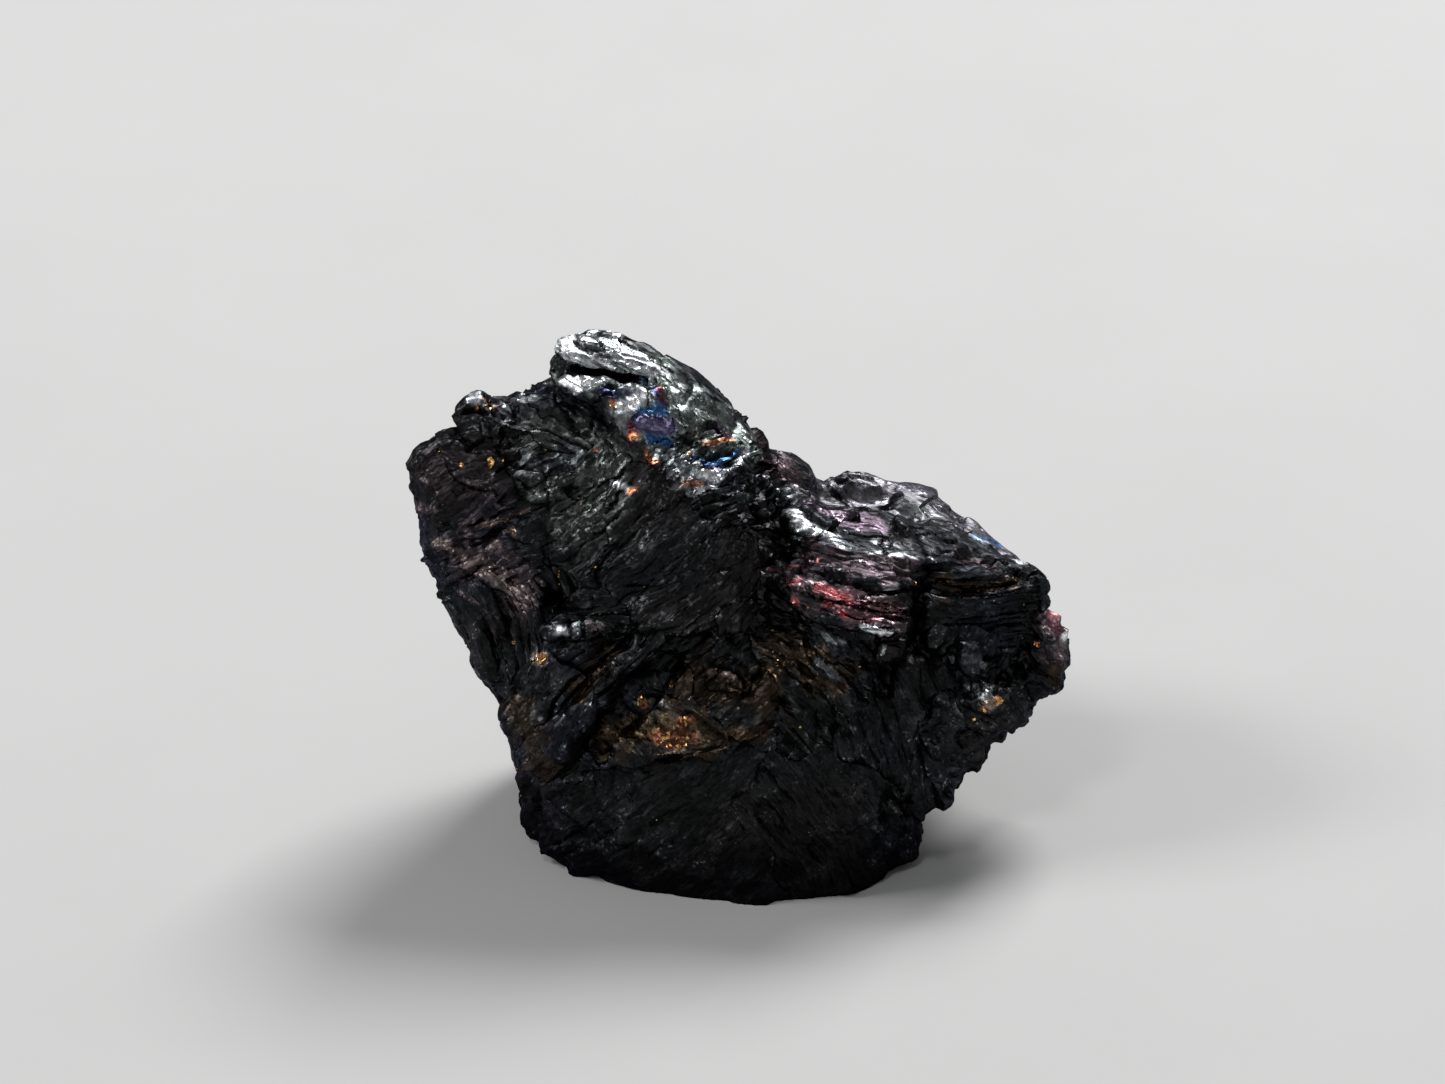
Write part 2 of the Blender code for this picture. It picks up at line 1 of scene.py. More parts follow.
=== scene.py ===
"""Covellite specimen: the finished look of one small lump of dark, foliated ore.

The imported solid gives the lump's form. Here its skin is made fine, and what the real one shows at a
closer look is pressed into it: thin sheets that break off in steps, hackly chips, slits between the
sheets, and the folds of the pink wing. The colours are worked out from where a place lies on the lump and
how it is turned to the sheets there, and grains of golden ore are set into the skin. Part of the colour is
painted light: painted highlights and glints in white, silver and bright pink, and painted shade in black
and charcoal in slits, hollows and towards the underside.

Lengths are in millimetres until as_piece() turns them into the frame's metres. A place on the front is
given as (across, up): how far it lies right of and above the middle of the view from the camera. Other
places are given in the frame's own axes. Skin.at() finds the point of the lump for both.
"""

import itertools
import math

import bmesh
import bpy
import numpy as np
from mathutils import Matrix, Vector
from mathutils.bvhtree import BVHTree


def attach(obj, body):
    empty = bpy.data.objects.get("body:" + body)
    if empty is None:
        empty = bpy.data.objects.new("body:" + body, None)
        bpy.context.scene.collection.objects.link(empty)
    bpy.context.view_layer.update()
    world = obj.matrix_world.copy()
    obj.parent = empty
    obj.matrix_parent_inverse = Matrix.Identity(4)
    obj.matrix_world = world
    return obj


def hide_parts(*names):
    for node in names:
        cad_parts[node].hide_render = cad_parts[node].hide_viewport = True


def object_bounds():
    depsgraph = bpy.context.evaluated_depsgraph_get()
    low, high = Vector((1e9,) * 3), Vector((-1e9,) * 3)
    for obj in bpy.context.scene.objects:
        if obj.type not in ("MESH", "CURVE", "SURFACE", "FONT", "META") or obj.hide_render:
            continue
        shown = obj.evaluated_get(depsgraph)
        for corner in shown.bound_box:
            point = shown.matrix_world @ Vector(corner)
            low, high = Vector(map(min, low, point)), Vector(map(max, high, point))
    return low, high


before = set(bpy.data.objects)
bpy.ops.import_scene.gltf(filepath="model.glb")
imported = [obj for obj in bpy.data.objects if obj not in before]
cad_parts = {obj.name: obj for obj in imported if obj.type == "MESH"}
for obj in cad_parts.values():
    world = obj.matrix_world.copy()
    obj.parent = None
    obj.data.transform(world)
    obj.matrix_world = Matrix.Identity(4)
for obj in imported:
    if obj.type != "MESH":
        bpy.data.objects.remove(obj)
cad_low, cad_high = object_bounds()

MM = 0.001
BOX_LOW = np.array(cad_low) / MM
BOX_HIGH = np.array(cad_high) / MM
NODE = "covellite_specimen"

# The view of the camera.
VIEW_TILT = math.radians(27.0)
VIEW_DISTANCE = 406.4
VIEW_WIDTH = 53.97  # how much of the lump's surroundings the picture takes in, side to side
VIEW_AIM = Vector((-0.68, -0.35, 11.43))
SENSOR = 36.0
TO_CAMERA = Vector((0.0, -math.cos(VIEW_TILT), math.sin(VIEW_TILT)))
VIEW_UP = Vector((0.0, math.sin(VIEW_TILT), math.cos(VIEW_TILT)))
EYE = VIEW_AIM + VIEW_DISTANCE * TO_CAMERA
MIDDLE = Vector((0.0, 1.0, 7.0))  # of the lump

# The skin.
FINE = 0.06  # how fine the skin is before its flat places are thinned out
TRIANGLES = 192000
SOFTENING = {"factor": 0.5, "iterations": 5}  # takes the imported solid's flat facets out of the skin
SHARP_FROM = math.radians(42.0)  # the angle between two faces from which their edge is sharp
REST_HEIGHT = 0.5  # below this the carving fades out, so that the underside stays flat
INSET = 0.25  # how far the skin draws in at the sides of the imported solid's box, so that relief fits in
INSET_FROM = 0.8  # how close to a side that starts

# Each set of sheets: where it rules, the direction across its sheets, their bend in 1/mm, the thickness of
# a sheet, how far its broken edge stands out or back, how deep the slits between sheets are, and the size
# and height of the chips broken from it.
SHEETS = {
    "crest_top": ((-4.4, 6.9), (0.35, -0.1, 0.93), 0.02, 0.22, 0.09, 0.13, 0.5, 0.05),
    "crest_lip": ((-5.6, 6.0), (0.2, -0.3, 0.93), 0.05, 0.25, 0.08, 0.08, 0.45, 0.08),
    "crest_face": ((-1.2, 4.9), (0.5, -0.2, 0.84), 0.02, 0.3, 0.05, 0.03, 1.3, 0.05),
    "crest_facets": ((-3.0, 4.8), (0.4, -0.4, 0.82), 0.03, 0.35, 0.06, 0.04, 0.75, 0.13),
    "crest_foot": ((-0.5, 2.8), (-0.4, 0.3, 0.86), 0.05, 0.2, 0.08, 0.1, 0.35, 0.09),
    "front_upper": ((-5.6, 3.2), (0.66, -0.3, -0.66), 0.05, 0.34, 0.06, 0.05, 0.5, 0.15),
    "front_middle": ((-6.0, 1.4), (0.6, -0.3, -0.72), 0.05, 0.34, 0.06, 0.05, 0.6, 0.12),
    "front_lower": ((-2.4, 0.2), (0.66, -0.3, -0.66), 0.05, 0.3, 0.06, 0.06, 1.0, 0.07),
    "front_foot": ((-2.0, -1.8), (0.6, -0.3, -0.72), 0.06, 0.32, 0.06, 0.06, 0.9, 0.08),
    "top_left": ((-9.2, 3.9), (-0.3, 0.2, 0.93), 0.03, 0.4, 0.1, 0.06, 0.55, 0.14),
    "left_flank": ((-10.0, 1.8), (-0.6, 0.3, 0.74), 0.03, 0.45, 0.07, 0.04, 0.8, 0.09),
    "left_ridge": ((-9.2, 0.1), (-0.45, 0.4, 0.8), 0.04, 0.3, 0.1, 0.06, 0.6, 0.12),
    "left_streaks": ((-7.9, -1.7), (0.83, 0.25, 0.49), 0.04, 0.32, 0.12, 0.08, 0.55, 0.1),
    "left_low": ((-8.8, -3.4), (0.95, 0.14, 0.27), 0.03, 0.36, 0.12, 0.09, 0.7, 0.08),
    "ledge": ((-5.4, -3.1), (-0.2, 0.4, 0.9), 0.05, 0.3, 0.09, 0.06, 0.4, 0.12),
    "rib": ((-4.3, -4.4), (0.68, -0.34, -0.64), 0.05, 0.42, 0.14, 0.12, 0.8, 0.06),
    "low_left": ((-7.2, -6.6), (0.7, -0.2, -0.6), 0.04, 0.5, 0.08, 0.06, 0.7, 0.11),
    "wedge": ((-2.8, -7.1), (0.35, -0.55, 0.75), 0.02, 0.6, 0.05, 0.02, 0.4, 0.07),
    "middle": ((-0.4, -5.2), (0.55, -0.35, -0.75), 0.05, 0.45, 0.07, 0.05, 0.5, 0.12),
    "below_the_wing": ((3.0, -4.9), (0.6, 0.36, 0.7), 0.04, 0.3, 0.08, 0.08, 0.4, 0.11),
    "wing": ((4.6, -2.4), (0.22, 0.4, 0.89), -0.06, 0.34, 0.16, 0.2, 0.6, 0.05),
    "wing_top": ((5.2, -0.9), (0.12, 0.42, 0.9), -0.05, 0.24, 0.08, 0.07, 0.6, 0.04),
    "band": ((3.4, 0.4), (0.2, 0.2, 0.95), 0.03, 0.22, 0.08, 0.05, 0.3, 0.09),
    "lobe": ((6.2, 1.3), (0.2, 0.05, 0.97), -0.05, 0.34, 0.06, 0.05, 1.1, 0.04),
    "lobe_right": ((9.2, 0.0), (0.45, 0.05, 0.89), -0.04, 0.36, 0.08, 0.06, 1.1, 0.06),
    "block_top": ((9.4, -1.6), (0.02, 0.36, 0.93), -0.04, 0.24, 0.11, 0.12, 0.5, 0.05),
    "block_front": ((9.6, -3.2), (0.7, 0.2, -0.6), 0.03, 0.5, 0.06, 0.04, 0.6, 0.1),
    "groove_side": ((6.9, -5.6), (0.92, 0.2, 0.3), 0.03, 0.4, 0.07, 0.05, 0.7, 0.1),
    "lower_right": ((9.6, -6.0), (0.35, -0.6, 0.7), 0.03, 0.5, 0.08, 0.05, 0.55, 0.14),
    "tip": ((12.3, -3.6), (0.5, -0.4, 0.75), 0.05, 0.35, 0.1, 0.07, 0.5, 0.13),
    "foot": ((-1.0, -10.6), (0.62, -0.3, -0.72), 0.02, 0.8, 0.08, 0.05, 1.1, 0.12),
    "foot_right": ((4.0, -9.0), (0.8, 0.1, 0.58), 0.02, 0.7, 0.09, 0.06, 0.9, 0.12),
}
SHEETS_BEHIND = {
    "left_side": ((-11.0, 2.5, 9.0), (-0.75, 0.45, 0.5), 0.03, 0.38, 0.13, 0.09, 0.8, 0.11),
    "left_below": ((-8.5, 2.0, 3.5), (0.2, 0.9, 0.4), 0.03, 0.5, 0.12, 0.08, 0.9, 0.12),
    "behind_left": ((-6.5, 6.0, 11.0), (-0.5, 0.3, 0.8), 0.03, 0.34, 0.14, 0.1, 0.8, 0.1),
    "behind_crest": ((-2.0, 5.0, 15.0), (0.4, 0.25, 0.88), 0.04, 0.3, 0.14, 0.12, 0.7, 0.09),
    "behind_saddle": ((2.0, 5.5, 10.0), (0.25, 0.35, 0.9), 0.05, 0.34, 0.12, 0.1, 0.7, 0.12),
    "behind_right": ((6.5, 6.5, 8.0), (0.5, 0.3, 0.8), 0.03, 0.36, 0.14, 0.1, 0.9, 0.1),
    "behind_low_left": ((-4.5, 6.5, 4.0), (0.7, 0.1, 0.7), 0.03, 0.55, 0.12, 0.08, 1.0, 0.12),
    "behind_low_right": ((3.5, 6.5, 3.0), (-0.75, 0.2, 0.6), 0.03, 0.55, 0.12, 0.08, 1.0, 0.12),
    "right_side": ((11.0, 3.0, 6.5), (0.55, 0.4, 0.72), 0.04, 0.34, 0.12, 0.09, 0.6, 0.12),
}
BORDER_WANDER = 1.3  # how far the border between two sets of sheets strays
SHEET_WARP = 0.16  # how far a sheet strays from its even bend
SHEET_PATCH = 1.7  # how far along a sheet its edge goes before it breaks elsewhere
SLIT_SHARE = 0.16  # the share of a sheet's thickness that the slit beside it takes
EDGE_SHARE = 0.3  # the share of its thickness over which its edge slopes to the next one
CHIP_STRETCH = 1.5  # how much longer than wide a chip is, along the sheets
CHIPS = ((2.4, 1.8), (1.0, 1.2), (0.45, 0.5))  # each layer's share of a set's chip size and chip height
LEAST_CHIP = 0.3
HOLLOW_TILT = 1.6  # how much a facet tilts
LINED_SLIT = 0.14  # sheets with slits this deep show their finest lines in full
NEXT_SHEET = 7.0  # a step in the noise that is far enough to make the next sheet differ
NEXT_SET = 31.0  # the same for the next set of sheets
NEXT_SET_CHIPS = 17.0  # and for its chips
NEXT_SET_LINES = 5.0  # and for its finest lines
EDGE_GAIN = 1.6  # makes up for noise that seldom reaches 1

# Cuts and ridges seen from the front: their half width, how deep they go, and the places they run through.
# A ridge has a depth below zero.
CUTS = {
    "crest_slit": (0.2, 0.55, (-5.6, 6.5), (-4.6, 6.33), (-3.7, 6.08), (-2.95, 6.05)),
    "crest_pocket": (0.12, 0.25, (-5.5, 7.45), (-5.0, 7.3), (-4.4, 7.15)),
    "crest_upper_line": (0.07, 0.12, (-5.0, 7.75), (-4.2, 7.6), (-3.4, 7.3), (-2.6, 6.85)),
    "crest_middle_line": (0.07, 0.14, (-4.4, 7.2), (-3.5, 7.0), (-2.7, 6.7), (-1.9, 6.3)),
    "crest_lower_line": (0.06, 0.1, (-4.7, 6.9), (-3.8, 6.8), (-3.0, 6.6), (-2.4, 6.25)),
    "crest_lip_line": (0.1, 0.2, (-5.2, 5.85), (-4.5, 5.8), (-3.9, 5.75)),
    "crest_facet_border": (0.07, 0.1, (-2.1, 5.8), (-2.05, 5.0), (-1.75, 4.2), (-1.6, 3.3)),
    "crest_facet_fold": (0.08, 0.12, (-3.4, 4.6), (-2.9, 4.75), (-2.2, 4.65)),
    "crest_facet_step": (0.08, 0.15, (-3.4, 5.7), (-2.9, 5.5), (-2.75, 4.9)),
    "crest_face_crack": (0.06, 0.12, (-1.7, 5.1), (-1.45, 4.4), (-1.2, 3.9), (-0.95, 3.5)),
    "crest_face_line": (0.05, 0.08, (-1.9, 6.0), (-1.0, 5.3), (-0.3, 4.6)),
    "crest_face_hollow": (0.14, 0.18, (-0.4, 4.35), (-0.1, 4.2), (0.15, 4.1)),
    "crest_foot_fold": (0.07, 0.14, (-1.2, 3.2), (-0.5, 3.1), (0.2, 3.3), (0.7, 3.7)),
    "crest_foot_fold_low": (0.07, 0.14, (-1.0, 2.7), (-0.3, 2.7), (0.3, 3.0), (0.8, 3.4)),
    "crest_foot_edge": (0.06, 0.12, (-1.6, 2.2), (-0.9, 2.1), (-0.2, 2.3), (0.4, 2.7)),
    "notch": (0.3, 0.45, (0.7, 2.3), (1.05, 1.4), (1.2, 0.5)),
    "left_step": (0.16, 0.28, (-9.9, 4.6), (-9.8, 3.9), (-9.2, 3.5)),
    "left_top_notch": (0.16, 0.3, (-8.9, 5.6), (-8.8, 5.2), (-8.5, 4.8)),
    "left_top_notch_right": (0.14, 0.25, (-8.1, 5.5), (-7.9, 5.1), (-7.8, 4.7)),
    "left_top_ledge": (0.12, 0.2, (-9.6, 4.75), (-9.0, 4.8), (-8.2, 4.6)),
    "left_shelf": (0.16, 0.22, (-9.4, 3.4), (-8.4, 3.9), (-7.2, 4.0)),
    "left_line": (0.13, 0.22, (-9.3, -0.05), (-8.7, 0.2), (-8.2, 0.6)),
    "left_ridge": (0.16, -0.14, (-9.9, 0.1), (-9.0, 0.4), (-8.2, 0.95), (-7.3, 1.5)),
    "left_upper_ridge": (0.14, -0.12, (-11.5, 1.15), (-10.9, 1.3), (-10.3, 1.0)),
    "front_stroke": (0.1, -0.12, (-4.95, -1.3), (-4.6, -0.6), (-4.1, 0.05)),
    "front_stroke_shadow": (0.08, 0.12, (-4.75, -1.4), (-4.4, -0.7), (-3.9, -0.1)),
    "front_curve": (0.09, 0.12, (-1.0, 1.9), (-2.6, 0.9), (-4.0, -0.6), (-4.9, -2.2)),
    "front_curve_right": (0.09, 0.12, (0.6, 0.8), (-1.0, -0.1), (-2.4, -1.2), (-3.4, -2.5)),
    "front_curve_low": (0.09, 0.1, (0.9, -0.6), (-0.3, -1.2), (-1.6, -2.2)),
    "front_crack": (0.09, 0.16, (-4.9, 4.3), (-4.6, 5.3), (-4.2, 5.5)),
    "hole": (0.36, 0.75, (-6.15, -1.75), (-5.95, -2.0), (-5.9, -2.3)),
    "ledge_crack": (0.1, 0.22, (-5.65, -3.05), (-5.7, -3.6)),
    "ledge_crack_right": (0.1, 0.2, (-5.15, -3.0), (-5.2, -3.55)),
    "ledge_crack_end": (0.08, 0.15, (-4.75, -2.95), (-4.75, -3.4)),
    "ledge_shadow": (0.16, 0.3, (-6.2, -3.8), (-5.2, -3.75), (-4.4, -3.5)),
    "streak_one": (0.09, -0.1, (-9.7, -1.8), (-9.1, -2.5), (-8.6, -3.4), (-8.3, -4.3)),
    "streak_two": (0.09, -0.1, (-9.2, -2.0), (-8.6, -2.7), (-8.1, -3.6)),
    "streak_three": (0.1, -0.12, (-8.4, -1.6), (-7.8, -2.0), (-7.2, -2.35)),
    "rib_line_one": (0.1, 0.18, (-3.1, -3.3), (-4.1, -4.1), (-5.2, -5.2), (-5.9, -6.2)),
    "rib_line_two": (0.09, 0.16, (-2.8, -3.7), (-3.7, -4.5), (-4.6, -5.5)),
    "wing_hole": (0.14, 0.35, (1.75, -0.8), (2.2, -0.62), (2.7, -0.75)),
    "wing_main_line": (0.1, 0.26, (2.4, -0.75), (3.8, -1.3), (5.9, -1.9), (7.0, -1.74), (7.7, -1.1)),
    "wing_second_line": (0.09, 0.24, (3.7, -2.1), (4.3, -2.25), (5.0, -2.1), (5.6, -2.0), (6.3, -1.95)),
    "wing_third_line": (0.07, 0.18, (3.1, -1.9), (3.9, -2.3), (4.6, -2.75), (5.5, -3.1), (6.2, -3.25)),
    "wing_fourth_line": (0.07, 0.18, (4.8, -2.3), (5.5, -2.55), (6.2, -2.85), (6.7, -2.9)),
    "wing_short_line": (0.06, 0.14, (5.3, -2.15), (6.0, -2.45), (6.6, -2.7)),
    "wing_low_line": (0.1, 0.24, (3.6, -2.9), (4.6, -3.35), (5.4, -3.5), (6.3, -3.6)),
    "wing_left_line": (0.07, 0.14, (2.1, -1.6), (2.5, -1.85), (3.2, -2.4)),
    "lobe_bowl": (0.18, 0.3, (4.2, 1.75), (4.9, 1.35), (5.6, 1.2), (6.2, 1.3), (6.6, 1.75)),
    "lobe_bowl_wide": (0.65, 0.3, (4.7, 1.75), (5.3, 1.6), (6.0, 1.75)),
    "lobe_top_line": (0.14, 0.2, (4.3, 2.25), (4.9, 2.4), (5.5, 2.35)),
    "lobe_low_line": (0.08, 0.14, (4.6, 0.25), (5.8, 0.2), (6.6, 0.4), (7.6, 0.45)),
    "lobe_edge": (0.07, -0.1, (7.2, 0.2), (7.9, 0.26), (8.5, 0.25)),
    "lobe_dent": (0.35, 0.12, (6.1, 0.8), (6.3, 0.6)),
    "lobe_right_dent": (0.35, 0.12, (8.6, 1.2), (8.9, 0.8)),
    "brown_hollow": (0.4, 0.22, (9.0, -0.5), (9.6, -0.6), (9.9, -0.9)),
    "block_edge": (0.09, -0.14, (10.25, -0.85), (10.5, -1.1), (10.7, -1.4)),
    "block_line_one": (0.07, 0.16, (8.0, -1.45), (9.0, -1.7), (10.2, -1.7), (11.0, -1.45)),
    "block_line_two": (0.07, 0.16, (8.2, -1.9), (9.2, -2.0), (10.3, -1.95), (11.1, -1.75)),
    "block_gash": (0.22, 0.35, (7.65, -1.7), (7.35, -2.4), (7.1, -3.2), (6.6, -4.0)),
    "pit_rim": (0.12, -0.16, (-0.6, -4.7), (0.2, -4.85), (0.7, -5.35), (0.35, -6.0), (-0.5, -6.15)),
    "pit": (0.32, 0.25, (-0.4, -5.3), (0.1, -5.4)),
    "wedge_edge": (0.08, -0.1, (-2.6, -7.95), (-1.2, -7.85), (0.3, -7.6)),
    "knob_notch": (0.26, 0.45, (12.75, -3.0), (13.0, -3.25)),
}
CUT_SPACING = 0.1  # between the points of a line

# Colours, as the share of red, green and blue light that the surface reflects. Some are painted light:
# the black is painted shade, the white and the silver are painted highlights, the rosy grey and the pink
# are tints of the ore painted brighter as highlights, and the crest's green silver is partly a painted
# sheen.
# Painted shade: the black of the slit, the hole, the groove, the front below the crest and the underside.
PAINTED_SHADE = (0.004, 0.004, 0.005)
CHARCOAL = (0.02, 0.021, 0.022)
GREY_GREEN = (0.056, 0.062, 0.058)
SLATE = (0.085, 0.092, 0.098)
BROWN_PURPLE = (0.034, 0.027, 0.029)
UMBER = (0.04, 0.028, 0.018)
OLIVE = (0.044, 0.032, 0.019)
RUST = (0.17, 0.055, 0.032)
DIM_MAUVE = (0.06, 0.046, 0.052)
MAUVE = (0.11, 0.085, 0.095)
# A rosy tint of the ore, painted bright as the reflections on the left flank and the ledge.
ROSY_GREY_HIGHLIGHT = (0.28, 0.22, 0.215)
VIOLET = (0.052, 0.04, 0.06)
DUSKY_VIOLET = (0.09, 0.068, 0.088)
LILAC_GREY = (0.115, 0.11, 0.122)
# The pink tarnish of the ore, painted bright as highlights.
PINK_HIGHLIGHT = (0.85, 0.26, 0.27)
ROSE = (0.25, 0.115, 0.13)
TAN = (0.26, 0.19, 0.16)
# Painted highlight: a light grey for sheen and glints.
HIGHLIGHT_SILVER = (0.26, 0.28, 0.29)
# The grey-green of the crest, partly a painted sheen of the light it faces.
GREEN_SILVER = (0.1, 0.115, 0.108)
# Painted highlight: white.
HIGHLIGHT_WHITE = (0.9, 0.94, 1.0)
ICE = (0.25, 0.36, 0.5)
BLUE = (0.04, 0.125, 0.31)
INDIGO = (0.022, 0.026, 0.065)
LAVENDER = (0.15, 0.13, 0.23)
WINE = (0.1, 0.025, 0.035)
ORANGE = (0.75, 0.25, 0.11)
GOLD = (0.78, 0.5, 0.17)
COPPERY = (0.6, 0.2, 0.09)
BRASSY = (0.85, 0.62, 0.25)

